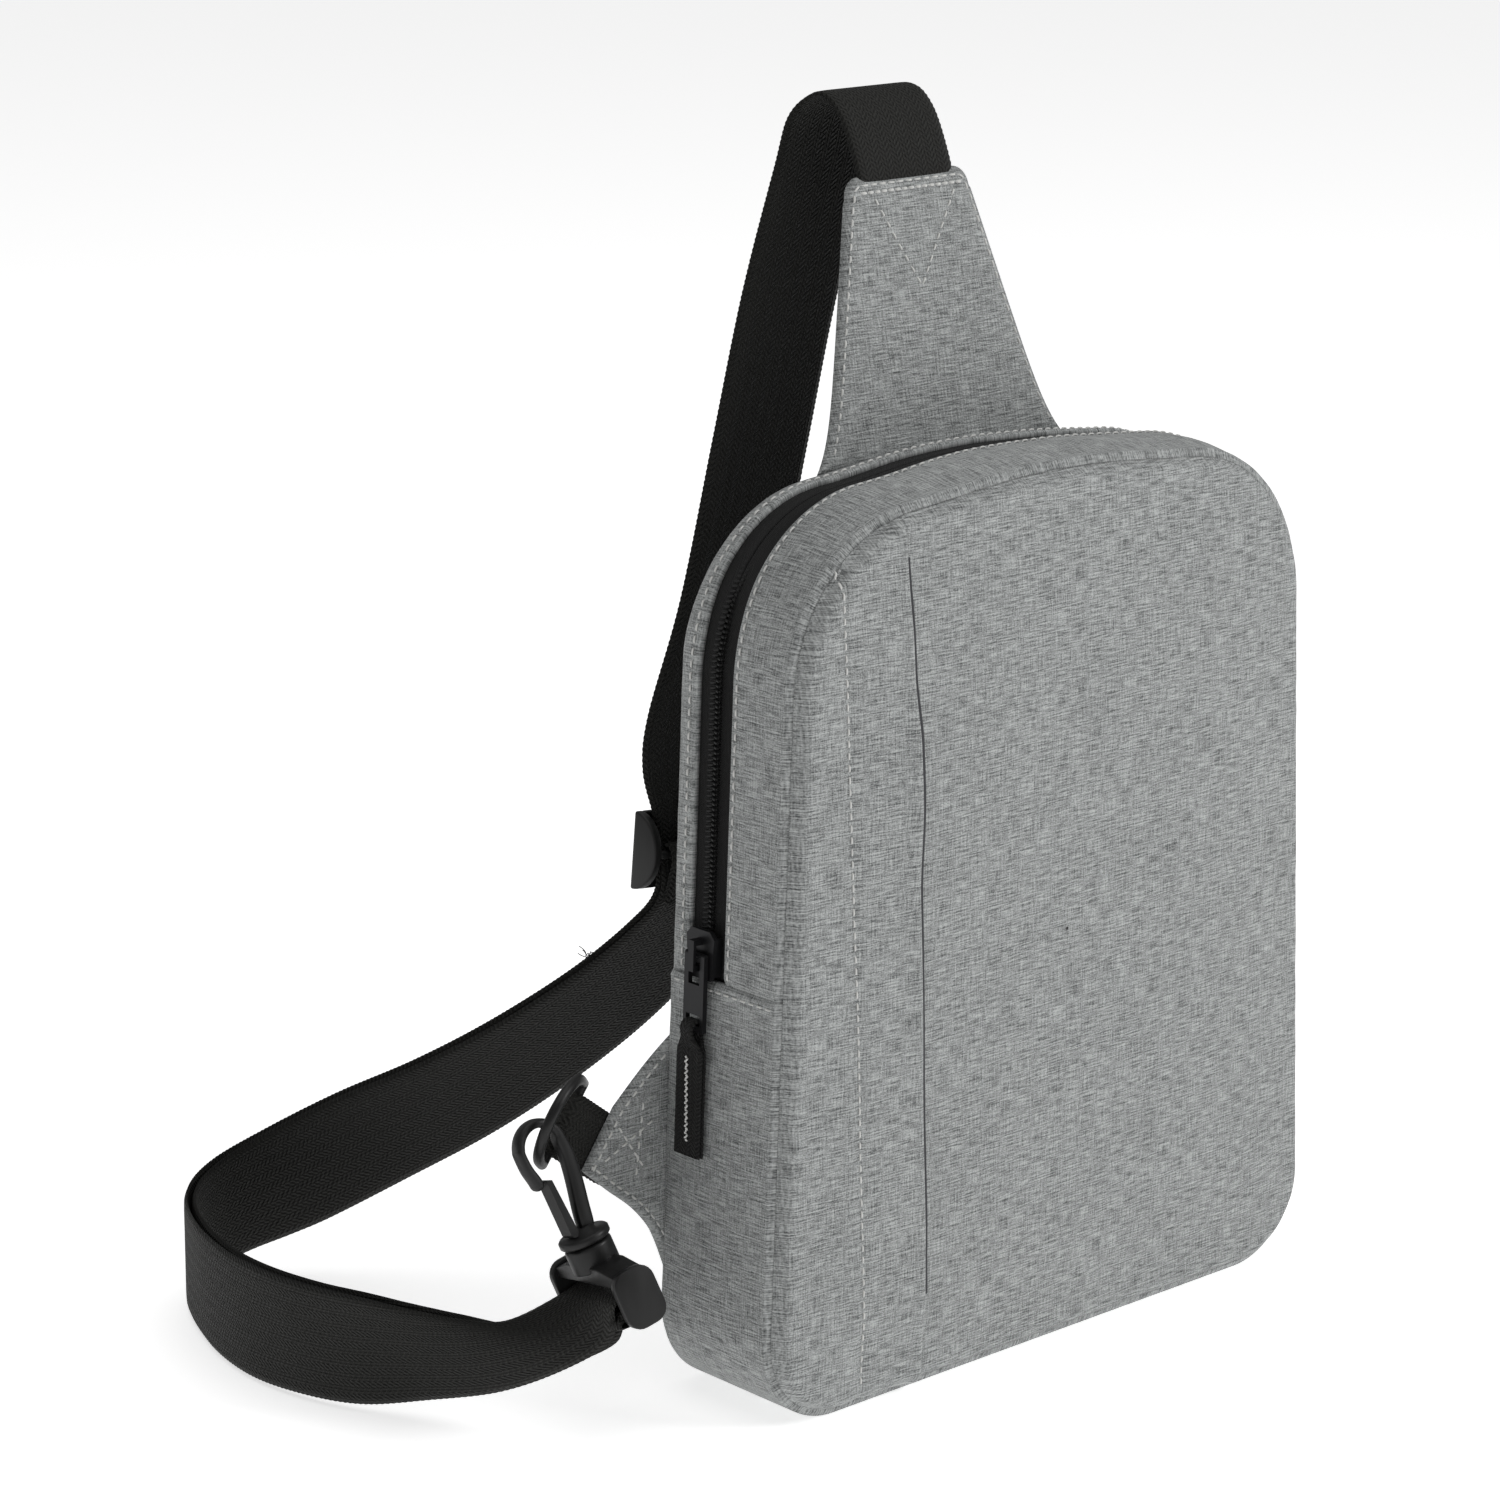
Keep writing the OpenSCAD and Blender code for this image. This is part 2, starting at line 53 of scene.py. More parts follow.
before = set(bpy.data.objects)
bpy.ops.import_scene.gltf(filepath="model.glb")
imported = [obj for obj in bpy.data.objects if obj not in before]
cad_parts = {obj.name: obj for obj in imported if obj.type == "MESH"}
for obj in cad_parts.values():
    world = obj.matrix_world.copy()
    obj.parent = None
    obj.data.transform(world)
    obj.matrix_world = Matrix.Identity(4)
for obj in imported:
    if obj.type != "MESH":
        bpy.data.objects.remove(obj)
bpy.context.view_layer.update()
scene = bpy.context.scene


# ---------------------------------------------------------------- geometry helpers

def unit(v):
    v = np.asarray(v, float)
    return v / np.maximum(np.linalg.norm(v, axis=-1, keepdims=True), 1e-12)


def step01(x):
    x = np.clip(x, 0, 1)
    return x * x * (3 - 2 * x)


def fbm(points, scale, seed, octaves=2):
    """Smooth noise in -1..1 at each point, for features about `scale` mm wide."""
    out = np.zeros(len(points))
    for k in range(octaves):
        f = 2 ** k / scale
        out += [noise.noise(Vector((p[0] * f + seed, p[1] * f - seed, p[2] * f + 2 * seed))) / 2 ** k
                for p in points]
    return out


def make_mesh(name, verts, faces, uvs=None, smooth=True):
    """A mesh object from points in mm. uvs holds one (u, v) per vertex, in metres of cloth."""
    mesh = bpy.data.meshes.new(name)
    mesh.from_pydata([tuple(v) for v in np.asarray(verts, float) * MM], [], [tuple(f) for f in faces])
    mesh.validate()
    obj = bpy.data.objects.new(name, mesh)
    scene.collection.objects.link(obj)
    if uvs is not None:
        layer = mesh.uv_layers.new(name="weave")
        index = np.empty(len(mesh.loops), dtype=np.int32)
        mesh.loops.foreach_get("vertex_index", index)
        layer.data.foreach_set("uv", (np.asarray(uvs, float)[index] * MM).ravel())
    mesh.polygons.foreach_set("use_smooth", [smooth] * len(mesh.polygons))
    return obj


def grid_faces(rows, cols, wrap_rows=False, wrap_cols=False, flip=False, start=0):
    faces = []
    for i in range(rows if wrap_rows else rows - 1):
        for j in range(cols if wrap_cols else cols - 1):
            a = start + i * cols + j
            b = start + i * cols + (j + 1) % cols
            c = start + (i + 1) % rows * cols + (j + 1) % cols
            d = start + (i + 1) % rows * cols + j
            faces.append((a, d, c, b) if flip else (a, b, c, d))
    return faces


def finish_piece(obj, body, material, nodes=()):
    obj.data.materials.clear()
    obj.data.materials.append(material)
    if nodes:
        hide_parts(*nodes)
    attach(obj, body)
    return obj


# ---------------------------------------------------------------- the seam outline

class Outline:
    """The front seam as a closed line in X and Z, anticlockwise from the middle of the base."""

    def __init__(self):
        bx, tx = HALF_BOTTOM - CORNER_BOTTOM, HALF_TOP - CORNER_TOP
        bz, tz = SEAM_BOTTOM + CORNER_BOTTOM, SEAM_TOP - CORNER_TOP
        rounds = [(-bx, bz, CORNER_BOTTOM), (bx, bz, CORNER_BOTTOM), (tx, tz, CORNER_TOP),
                  (0, SEAM_TOP + ARCH_RISE - ARCH_R, ARCH_R), (-tx, tz, CORNER_TOP)]
        turns = []
        for i in range(5):
            a, b = rounds[i], rounds[(i + 1) % 5]
            d = np.array(b[:2]) - np.array(a[:2])
            lift = math.asin((a[2] - b[2]) / np.linalg.norm(d))
            turns.append(math.atan2(d[1], d[0]) - math.pi / 2 + lift)
        points, normals = [], []
        for i in (1, 2, 3, 4, 0):
            x, z, r = rounds[i]
            t0, t1 = turns[i - 1], turns[i]
            t1 = t0 + (t1 - t0) % (2 * math.pi)
            for t in np.linspace(t0, t1, max(3, int(r * (t1 - t0)))):
                points.append((x + r * math.cos(t), z + r * math.sin(t)))
                normals.append((math.cos(t), math.sin(t)))
        points.append(points[0])
        normals.append(normals[0])
        p, n = np.array(points), np.array(normals)
        mid = np.array([0, SEAM_BOTTOM])
        lengths = np.concatenate([[0], np.cumsum(np.linalg.norm(np.diff(p, axis=0), axis=1))])
        self.lead = np.linalg.norm(p[0] - mid)
        self.length = lengths[-1]
        self.s, self.p, self.n = lengths, p, n

    def at(self, s, grow=0.0):
        """Points at arc length s from the middle of the base, moved outwards by grow."""
        s = (np.asarray(s, float) - self.lead) % self.length
        x, z = (np.interp(s, self.s, self.p[:, k]) for k in (0, 1))
        n = unit(np.stack([np.interp(s, self.s, self.n[:, k]) for k in (0, 1)], -1))
        return np.stack([x, z], -1) + n * np.asarray(grow, float)[..., None], n

    def s_at_height(self, z, side):
        """Arc length of the point at height z on the right (+1) or left (-1) side."""
        s = np.linspace(0, self.length, 4001)
        p, _ = self.at(s)
        keep = np.where((p[:, 0] * side > 60) & (np.abs(p[:, 1] - z) < 60))[0]
        return s[keep[np.argmin(np.abs(p[keep, 1] - z))]]

    def inside(self, points):
        """Distance from the outline, positive inside."""
        dense, normals = self.at(np.arange(0, self.length, 1.5))
        out = np.empty(len(points))
        for i in range(0, len(points), 4000):
            d = points[i:i + 4000, None, :] - dense[None]
            near = np.argmin((d ** 2).sum(-1), axis=1)
            rows = np.arange(len(near))
            out[i:i + 4000] = -(d[rows, near] * normals[near]).sum(-1)
        return out


LINE = Outline()
ZIP_RIGHT = LINE.s_at_height(ZIP_Z, 1)
ZIP_LEFT = LINE.s_at_height(ZIP_Z, -1)


# ---------------------------------------------------------------- materials

def new_material(name):
    material = bpy.data.materials.new(name)
    material.use_nodes = True
    nodes, links = material.node_tree.nodes, material.node_tree.links
    return material, nodes, links, nodes["Principled BSDF"]


def add_node(nodes, kind, **values):
    node = nodes.new(kind)
    for key, value in values.items():
        if key in node.inputs:
            node.inputs[key].default_value = value
        else:
            setattr(node, key, value)
    return node


def math_node(nodes, links, operation, a, b):
    node = nodes.new("ShaderNodeMath")
    node.operation = operation
    for socket, value in zip(node.inputs, (a, b)):
        if isinstance(value, (int, float)):
            socket.default_value = value
        else:
            links.new(value, socket)
    return node.outputs[0]


def stretched_noise(nodes, links, source, per_u, per_v, detail=2.0, shift=0.0):
    """Noise whose cells are 1/per_u by 1/per_v metres along the cloth."""
    mapping = add_node(nodes, "ShaderNodeMapping")
    mapping.inputs["Scale"].default_value = (per_u, per_v, 1)
    mapping.inputs["Location"].default_value = (shift, shift, 0)
    links.new(source, mapping.inputs["Vector"])
    tex = add_node(nodes, "ShaderNodeTexNoise", Scale=1.0, Detail=detail, Roughness=0.6)
    links.new(mapping.outputs[0], tex.inputs["Vector"])
    return tex.outputs["Fac"]


def ramp(nodes, links, value, stops):
    node = nodes.new("ShaderNodeValToRGB")
    elements = node.color_ramp.elements
    while len(elements) < len(stops):
        elements.new(0.5)
    for element, (place, colour) in zip(elements, stops):
        element.position = place
        element.color = (*colour, 1) if hasattr(colour, "__len__") else (colour, colour, colour, 1)
    links.new(value, node.inputs[0])
    return node.outputs[0]


def heather_material(name, dark, light):
    """Melange cloth: slubby weft streaks along u, fainter warp streaks along v, and the threads' bump."""
    material, nodes, links, shader = new_material(name)
    uv = add_node(nodes, "ShaderNodeUVMap", uv_map="weave").outputs[0]
    weft = stretched_noise(nodes, links, uv, 150, 2400, 3)
    warp = stretched_noise(nodes, links, uv, 2300, 170, 3, 5.0)
    thread = stretched_noise(nodes, links, uv, 2100, 2300, 1, 9.0)
    cloud = stretched_noise(nodes, links, uv, 40, 60, 2, 3.0)
    mix = math_node(nodes, links, "MULTIPLY", weft, 0.46)
    mix = math_node(nodes, links, "ADD", mix, math_node(nodes, links, "MULTIPLY", warp, 0.26))
    mix = math_node(nodes, links, "ADD", mix, math_node(nodes, links, "MULTIPLY", thread, 0.24))
    mix = math_node(nodes, links, "ADD", mix, math_node(nodes, links, "MULTIPLY", cloud, 0.04))
    middle = [0.5 * (a + b) for a, b in zip(dark, light)]
    colour = ramp(nodes, links, mix, [(0.4, dark), (0.5, middle), (0.6, light)])
    links.new(colour, shader.inputs["Base Color"])
    wave_u = add_node(nodes, "ShaderNodeTexWave", Scale=210.0, Distortion=1.2, Detail=1.0,
                      bands_direction="X")
    wave_v = add_node(nodes, "ShaderNodeTexWave", Scale=260.0, Distortion=1.2, Detail=1.0,
                      bands_direction="Y")
    links.new(uv, wave_u.inputs["Vector"])
    links.new(uv, wave_v.inputs["Vector"])
    height = math_node(nodes, links, "MULTIPLY", wave_u.outputs["Fac"], wave_v.outputs["Fac"])
    height = math_node(nodes, links, "ADD", height, mix)
    bump = add_node(nodes, "ShaderNodeBump", Strength=0.35, Distance=0.0004)
    links.new(height, bump.inputs["Height"])
    links.new(bump.outputs[0], shader.inputs["Normal"])
    rough = ramp(nodes, links, mix, [(0.3, 0.95), (0.7, 0.8)])
    links.new(rough, shader.inputs["Roughness"])
    shader.inputs["Sheen Weight"].default_value = 0.15
    shader.inputs["Specular IOR Level"].default_value = 0.25
    return material


def webbing_material(name, ribs_per_m, cross_per_m, dark, light, strength):
    """Woven webbing: ribs across u with a stagger along v, so the face shows a fine twill."""
    material, nodes, links, shader = new_material(name)
    uv = add_node(nodes, "ShaderNodeUVMap", uv_map="weave").outputs[0]
    split = add_node(nodes, "ShaderNodeSeparateXYZ")
    links.new(uv, split.inputs[0])
    u, v = split.outputs[0], split.outputs[1]
    zigzag = math_node(nodes, links, "PINGPONG", u, 0.0022)
    lean = math_node(nodes, links, "ADD", v, math_node(nodes, links, "MULTIPLY", zigzag, 0.9))
    rib_angle = math_node(nodes, links, "MULTIPLY", lean, ribs_per_m * 2 * math.pi)
    rib = math_node(nodes, links, "SINE", rib_angle, 0.0)
    cross_angle = math_node(nodes, links, "MULTIPLY", u, cross_per_m * 2 * math.pi)
    cross = math_node(nodes, links, "SINE", cross_angle, 0.0)
    fibre = stretched_noise(nodes, links, uv, 1800, 500, 2)
    height = math_node(nodes, links, "ADD", math_node(nodes, links, "MULTIPLY", rib, 0.5),
                       math_node(nodes, links, "MULTIPLY", cross, 0.22))
    height = math_node(nodes, links, "ADD", height, math_node(nodes, links, "MULTIPLY", fibre, 0.5))
    level = math_node(nodes, links, "ADD", math_node(nodes, links, "MULTIPLY", height, 0.3), 0.42)
    links.new(ramp(nodes, links, level, [(0.1, dark), (0.9, light)]), shader.inputs["Base Color"])
    bump = add_node(nodes, "ShaderNodeBump", Strength=strength, Distance=0.0005)
    links.new(height, bump.inputs["Height"])
    links.new(bump.outputs[0], shader.inputs["Normal"])
    links.new(ramp(nodes, links, fibre, [(0.3, 0.78), (0.7, 0.62)]), shader.inputs["Roughness"])
    shader.inputs["Sheen Weight"].default_value = 0.02
    shader.inputs["Specular IOR Level"].default_value = 0.22
    return material


def moulded_material(name, colour, rough, grain=0.1, metallic=0.0):
    """Moulded plastic or painted metal: fine grain, and slight wear in the gloss."""
    material, nodes, links, shader = new_material(name)
    where = add_node(nodes, "ShaderNodeTexCoord").outputs["Object"]
    fine = stretched_noise(nodes, links, where, 2500, 2500, 2)
    broad = stretched_noise(nodes, links, where, 120, 120, 3, 4.0)
    links.new(ramp(nodes, links, broad, [(0.3, colour), (0.75, [c * 1.5 + 0.004 for c in colour])]),
              shader.inputs["Base Color"])
    links.new(ramp(nodes, links, broad, [(0.35, rough), (0.7, min(1, rough + 0.14))]),
              shader.inputs["Roughness"])
    bump = add_node(nodes, "ShaderNodeBump", Strength=grain, Distance=0.0002)
    links.new(fine, bump.inputs["Height"])
    links.new(bump.outputs[0], shader.inputs["Normal"])
    shader.inputs["Metallic"].default_value = metallic
    shader.inputs["Specular IOR Level"].default_value = 0.3
    return material


def thread_material(name, colour):
    material, nodes, links, shader = new_material(name)
    where = add_node(nodes, "ShaderNodeTexCoord").outputs["Object"]
    twist = stretched_noise(nodes, links, where, 3000, 3000, 2)
    links.new(ramp(nodes, links, twist, [(0.3, [c * 0.8 for c in colour]), (0.7, colour)]),
              shader.inputs["Base Color"])
    bump = add_node(nodes, "ShaderNodeBump", Strength=0.3, Distance=0.0002)
    links.new(twist, bump.inputs["Height"])
    links.new(bump.outputs[0], shader.inputs["Normal"])
    shader.inputs["Roughness"].default_value = 0.7
    return material


HEATHER = heather_material("heather", (0.075, 0.079, 0.079), (0.46, 0.475, 0.47))
WEBBING = webbing_material("webbing", 620, 900, (0.002, 0.002, 0.0018), (0.022, 0.022, 0.019), 0.9)
GROSGRAIN = webbing_material("grosgrain", 800, 500, (0.002, 0.002, 0.002), (0.02, 0.02, 0.019), 0.8)
LINING = webbing_material("lining", 2500, 2500, (0.02, 0.02, 0.022), (0.05, 0.05, 0.055), 0.3)
TAPE = webbing_material("zip_tape", 1500, 1700, (0.003, 0.003, 0.003), (0.014, 0.014, 0.014), 0.6)
PLASTIC = moulded_material("black_plastic", (0.007, 0.007, 0.007), 0.36, 0.12)
COIL = moulded_material("coil", (0.007, 0.007, 0.007), 0.42, 0.05)
ZIP_METAL = moulded_material("zip_metal", (0.012, 0.012, 0.013), 0.32, 0.05, 0.5)
GREY_THREAD = thread_material("grey_thread", (0.66, 0.66, 0.64))
WHITE_THREAD = thread_material("white_thread", (0.75, 0.75, 0.73))
BLACK_THREAD = thread_material("black_thread", (0.02, 0.02, 0.02))


# ---------------------------------------------------------------- stitches

def stitches(name, points, normals, material, body="bag", pitch=3.4, gap=0.9, r=0.32, sink=0.1):
    """A row of short rounded threads along a line of points that lie on a surface."""
    points, normals = np.asarray(points, float), unit(normals)
    run = np.concatenate([[0], np.cumsum(np.linalg.norm(np.diff(points, axis=0), axis=1))])
    count = max(1, int(run[-1] / pitch))
    verts, faces = [], []
    rings, sides = 7, 6
    for k in range(count):
        s = (k + 0.5) * run[-1] / count + np.linspace(-0.5, 0.5, rings) * (pitch - gap)
        p = np.stack([np.interp(s, run, points[:, a]) for a in range(3)], -1)
        n = unit(np.stack([np.interp(s, run, normals[:, a]) for a in range(3)], -1))
        along = unit(np.gradient(p, axis=0))
        across = unit(np.cross(along, n))
        t = np.linspace(-1, 1, rings)
        width = r * np.sqrt(np.clip(1 - 0.92 * t ** 4, 0, 1))
        lift = r * 0.9 * (1 - t ** 4) - sink - 0.35 * t ** 6
        start = len(verts)
        for i in range(rings):
            for a in range(sides):
                angle = 2 * math.pi * a / sides
                raised = n[i] * (lift[i] + width[i] * math.sin(angle))
                verts.append(p[i] + raised + across[i] * width[i] * math.cos(angle))
        faces += grid_faces(rings, sides, wrap_cols=True, start=start)
        faces.append(tuple(start + a for a in range(sides)))
        faces.append(tuple(start + (rings - 1) * sides + a for a in reversed(range(sides))))
    return finish_piece(make_mesh(name, verts, faces), body, material)


# ---------------------------------------------------------------- panels

def panel_swell(x, z, inset, side):
    """How far a panel stands out of the seam's plane. side is -1 for the front, +1 for the back."""
    bulge = 3.2 if side < 0 else 2.6
    tuck = step01((inset + 0.3) / 2.0)
    crown = bulge * (1 - np.exp(-np.maximum(inset, 0) / 26)) * step01(inset / 30)
    points = np.stack([x, z, np.full_like(x, 7.0 * side)], -1)
    waves = 0.9 * fbm(points * (0.8, 1, 1), 75, 3.1 + side) * step01(inset / 25)
    near_seam = np.exp(-np.maximum(inset, 0) / 5)
    puckers = 0.28 * fbm(points, 5.5, 1.7 * side, 1) * near_seam * step01((inset + 1) / 3)
    return PANEL_T * tuck + crown + waves + puckers - 0.9 * (1 - step01((inset + 0.9) / 1.4))


def on_panel(points, side=-1, lift=0.0):
    """The points (x, z) on the outside of the front or back panel, and the surface's normals."""
    points = np.asarray(points, float)

    def height(q):
        return panel_swell(q[:, 0], q[:, 1], LINE.inside(q), side)

    h = height(points)
    dx = (height(points + (0.5, 0)) - height(points - (0.5, 0)))
    dz = (height(points + (0, 0.5)) - height(points - (0, 0.5)))
    normals = unit(np.stack([-dx, np.full(len(h), float(side)), -dz], -1))
    surface = np.stack([points[:, 0], side * (HALF + h), points[:, 1]], -1)
    return surface + normals * lift, normals


def panel(name, side, nodes):
    around, rings = 300, 64
    s = np.linspace(0, LINE.length, around, endpoint=False)
    edge, _ = LINE.at(s, np.full(around, 0.8))
    centre = np.array([0.0, 128.0])
    verts, uvs = [], []
    tucked, _ = LINE.at(s, np.full(around, -2.2))
    verts += [(x, side * (HALF - 1.2), z) for x, z in tucked]
    hem, _ = LINE.at(s, np.full(around, 0.1))
    verts += [(x, side * (HALF - 0.4), z) for x, z in hem]
    uvs += [tuple(p) for p in tucked] + [tuple(p) for p in hem]
    for k in range(rings):
        t = 1 - (k / (rings - 1)) ** 1.45
        flat = centre + (edge - centre) * max(t, 0.004)
        surface, _ = on_panel(flat, side)
        verts += [tuple(p) for p in surface]
        uvs += [tuple(p) for p in flat]
    faces = grid_faces(rings + 2, around, wrap_cols=True, flip=side > 0)
    start = (rings + 1) * around
    cap = tuple(start + i for i in range(around))
    faces.append(cap if side > 0 else tuple(reversed(cap)))
    obj = make_mesh(name, verts, faces, uvs)
    return finish_piece(obj, "bag", HEATHER, nodes)


def placket_x(x, z):
    """X at height z of a line that leans with the placket."""
    return x - math.tan(PLACKET_SLANT) * (np.asarray(z, float) - PLACKET_MID)


def outline_x(z, side, grow):
    """X of the outline at height z."""
    p, _ = LINE.at(np.linspace(0, LINE.length, 3001), np.full(3001, grow))
    p = p[p[:, 0] * side > 20]
    order = np.argsort(p[:, 1])
    return np.interp(z, p[order, 1], p[order, 0])


def placket_open(z):
    """How far the pocket gapes at height z, from 0 to 1."""
    return step01((z - 150) / 30) * step01((215 - z) / 22)


def placket():
    """The folded flap over the left of the front, which lifts a little along its free edge."""
    rows, cols = 200, 44
    z_low = LINE.at(np.linspace(0, LINE.length, 3001), np.full(3001, 0.7))[0]
    z = np.linspace(SEAM_BOTTOM - 0.4, 252.0, rows)
    left = outline_x(z, -1, 0.9)
    right = placket_x(PLACKET_EDGE, z)
    top = z_low[np.argmin(np.abs(z_low[:, 0] - right[-1]) + (z_low[:, 1] < 200) * 1e3)][1]
    z = np.linspace(SEAM_BOTTOM - 0.4, top - 0.2, rows)
    left, right = outline_x(z, -1, 0.9), placket_x(PLACKET_EDGE, z)
    outer, inner, uvs = [], [], []
    for i in range(rows):
        t = np.linspace(0, 1, cols)
        x = left[i] + (right[i] - left[i]) * t
        flat = np.stack([x, np.full(cols, z[i])], -1)
        base, n = on_panel(flat)
        free = right[i] - x
        inset = LINE.inside(flat)
        raised = (EDGE_LIFT + GAPE_LIFT * placket_open(z[i])) * np.exp(-free / 5)
        held = 0.5 * np.exp(-((x - placket_x(PLACKET_STITCH, z[i])) / 1.5) ** 2)
        fold = 0.4 * np.exp(-(free / 0.5) ** 2) - 0.25 * np.exp(-((free - 1.6) / 0.8) ** 2)
        lift = 1.3 * step01((inset + 1) / 5) + raised
        outer.append(base + n * (lift - held - fold)[:, None])
        inner.append(base + n * (raised - 0.1 + 0.5 * fold)[:, None])
        uvs.append(flat + (400, 0))
    verts = np.concatenate([np.concatenate(outer), np.concatenate(inner)])
    faces = grid_faces(rows, cols)
    faces += grid_faces(rows, cols, flip=True, start=rows * cols)
    n = rows * cols
    for i in range(rows - 1):
        a, b = i * cols, (i + 1) * cols
        faces.append((a, b, b + n, a + n))
        a, b = a + cols - 1, b + cols - 1
        faces.append((a, a + n, b + n, b))
    for j in range(cols - 1):
        faces.append((j, j + n, j + 1 + n, j + 1))
        a = (rows - 1) * cols + j
        faces.append((a, a + 1, a + 1 + n, a + n))
    flat_uv = np.concatenate(uvs)
    obj = make_mesh("front_placket", verts, faces, np.concatenate([flat_uv, flat_uv]))
    return finish_piece(obj, "bag", HEATHER, ["front_side_panel"])


def pocket_slit_and_painted_shadow():
    """A strip of dark lining laid on the panel beside the placket's free edge. Where the pocket gapes it is
    the dark inside of the pocket; along the rest of the edge it is painted shadow. It reaches past what the
    raised edge hides from the left, so it is a plain dark band when it is seen from the front or the right."""
    z = np.linspace(PAINTED_SHADOW_LOW, PAINTED_SHADOW_HIGH, 150)
    # the dark strip's width: painted shadow past the edge all along, wider where the pocket really gapes
    shadow_and_gape_width = PAINTED_SHADOW_REACH + GAPE_LIFT * placket_open(z)
    x = placket_x(PLACKET_EDGE, z)
    rows = []
    for share in (-0.4, 0.0, 0.5, 0.95, 1.0):
        p, _ = on_panel(np.stack([x + share * shadow_and_gape_width, z], -1), lift=0.15 if share < 1 else -0.25)
        rows.append(p)
    verts = np.stack(rows, 1).reshape(-1, 3)
    flat_uv = np.tile((0.0, 0.0), (len(verts), 1))
    obj = make_mesh("pocket_slit_and_painted_shadow", verts, grid_faces(len(z), len(rows)), flat_uv)
    finish_piece(obj, "bag", LINING)


def placket_point(x_line, z, lift):
    z = np.asarray(z, float)
    base, n = on_panel(np.stack([placket_x(x_line, z), z], -1))
    return base + n * lift, n


# ---------------------------------------------------------------- gusset

def gusset_grow(s, y):
    """Distance of the gusset's outside from the seam line at arc length s and depth y."""
    p, n = LINE.at(s)
    edge = np.minimum(y + HALF, HALF - y)
    tuck = step01((edge - 0.15) / 2.0)
    top = step01((n[:, 1] - 0.15) / 0.7)
    side = step01((0.35 - np.abs(n[:, 1])) / 0.3)
    side = side * step01((p[:, 1] - 14) / 22) * step01((118 - p[:, 1]) / 25)
    crown = (2.2 * top + 1.6 * side) * step01(edge / 16)
    points = np.stack([p[:, 0], p[:, 1], y], -1)
    flat_base = step01((p[:, 1] - 6) / 12)
    waves = 0.5 * fbm(points, 38, 8.2) * step01(edge / 8) * flat_base
    puckers = 0.25 * fbm(points, 5, 4.4, 1) * np.exp(-edge / 4) * step01(edge / 2) * flat_base
    near_slider = step01((p[:, 1] - 118) / 8) * step01((222 - p[:, 1]) / 10) * (p[:, 0] < 0)
    return -1.2 + (GUSSET_OUT + 1.2) * tuck + (crown + waves) * (1 - near_slider) + puckers


def on_gusset(s, y, lift=0.0):
    s, y = np.asarray(s, float), np.asarray(y, float)
    grow = gusset_grow(s, y) + lift
    p, n = LINE.at(s, grow)
    return np.stack([p[:, 0], y, p[:, 1]], -1), np.stack([n[:, 0], np.zeros(len(s)), n[:, 1]], -1)


def strip(name, s0, s1, y0, y1, nodes, fold=(), drop=0.0, material=None,
          thick=GUSSET_T):
    """A closed strip of cloth round the gusset. fold names the sides ("low" or "high" y, "start",
    "end") that roll over into a soft edge."""
    rows = max(8, int((s1 - s0) / 1.6))
    cols = max(6, int((y1 - y0) / 1.5))
    s = np.linspace(s0, s1, rows)
    t = np.linspace(0, 1, cols)
    y = y0 + (y1 - y0) * (t - 0.12 * np.sin(2 * math.pi * t))
    outer, inner, uvs = [], [], []
    for si in s:
        line = np.full(cols, si)
        under = 0.0 if "start" in fold else 1.7 * step01((3.8 - min(si - s0, s1 - si)) / 1.4)
        grow = gusset_grow(line, y) - drop - under
        roll = np.zeros(cols)
        for side, distance in (("low", y - y0), ("high", y1 - y), ("start", line - s0), ("end", s1 - line)):
            if side in fold:
                roll += 0.9 * np.exp(-distance / 0.6) - 0.3 * np.exp(-((distance - 1.5) / 1.0) ** 2)
                roll += 0.35 * np.exp(-((distance - 2.5) / 0.5) ** 2)
        p, _ = LINE.at(line, grow - roll)
        q, _ = LINE.at(line, grow - thick)
        outer.append(np.stack([p[:, 0], y, p[:, 1]], -1))
        inner.append(np.stack([q[:, 0], y, q[:, 1]], -1))
        uvs.append(np.stack([y, line], -1))
    verts = np.concatenate(outer + inner)
    n = rows * cols
    faces = grid_faces(rows, cols, flip=True) + grid_faces(rows, cols, start=n)
    for i in range(rows - 1):
        a, b = i * cols, (i + 1) * cols
        faces.append((a, a + n, b + n, b))
        a, b = a + cols - 1, b + cols - 1
        faces.append((a, b, b + n, a + n))
    for j in range(cols - 1):
        faces.append((j, j + 1, j + 1 + n, j + n))
        a = (rows - 1) * cols + j
        faces.append((a, a + n, a + 1 + n, a + 1))
    uvs = np.concatenate(uvs)
    obj = make_mesh(name, verts, faces, np.concatenate([uvs, uvs]))
    return finish_piece(obj, "bag", material or HEATHER, nodes)


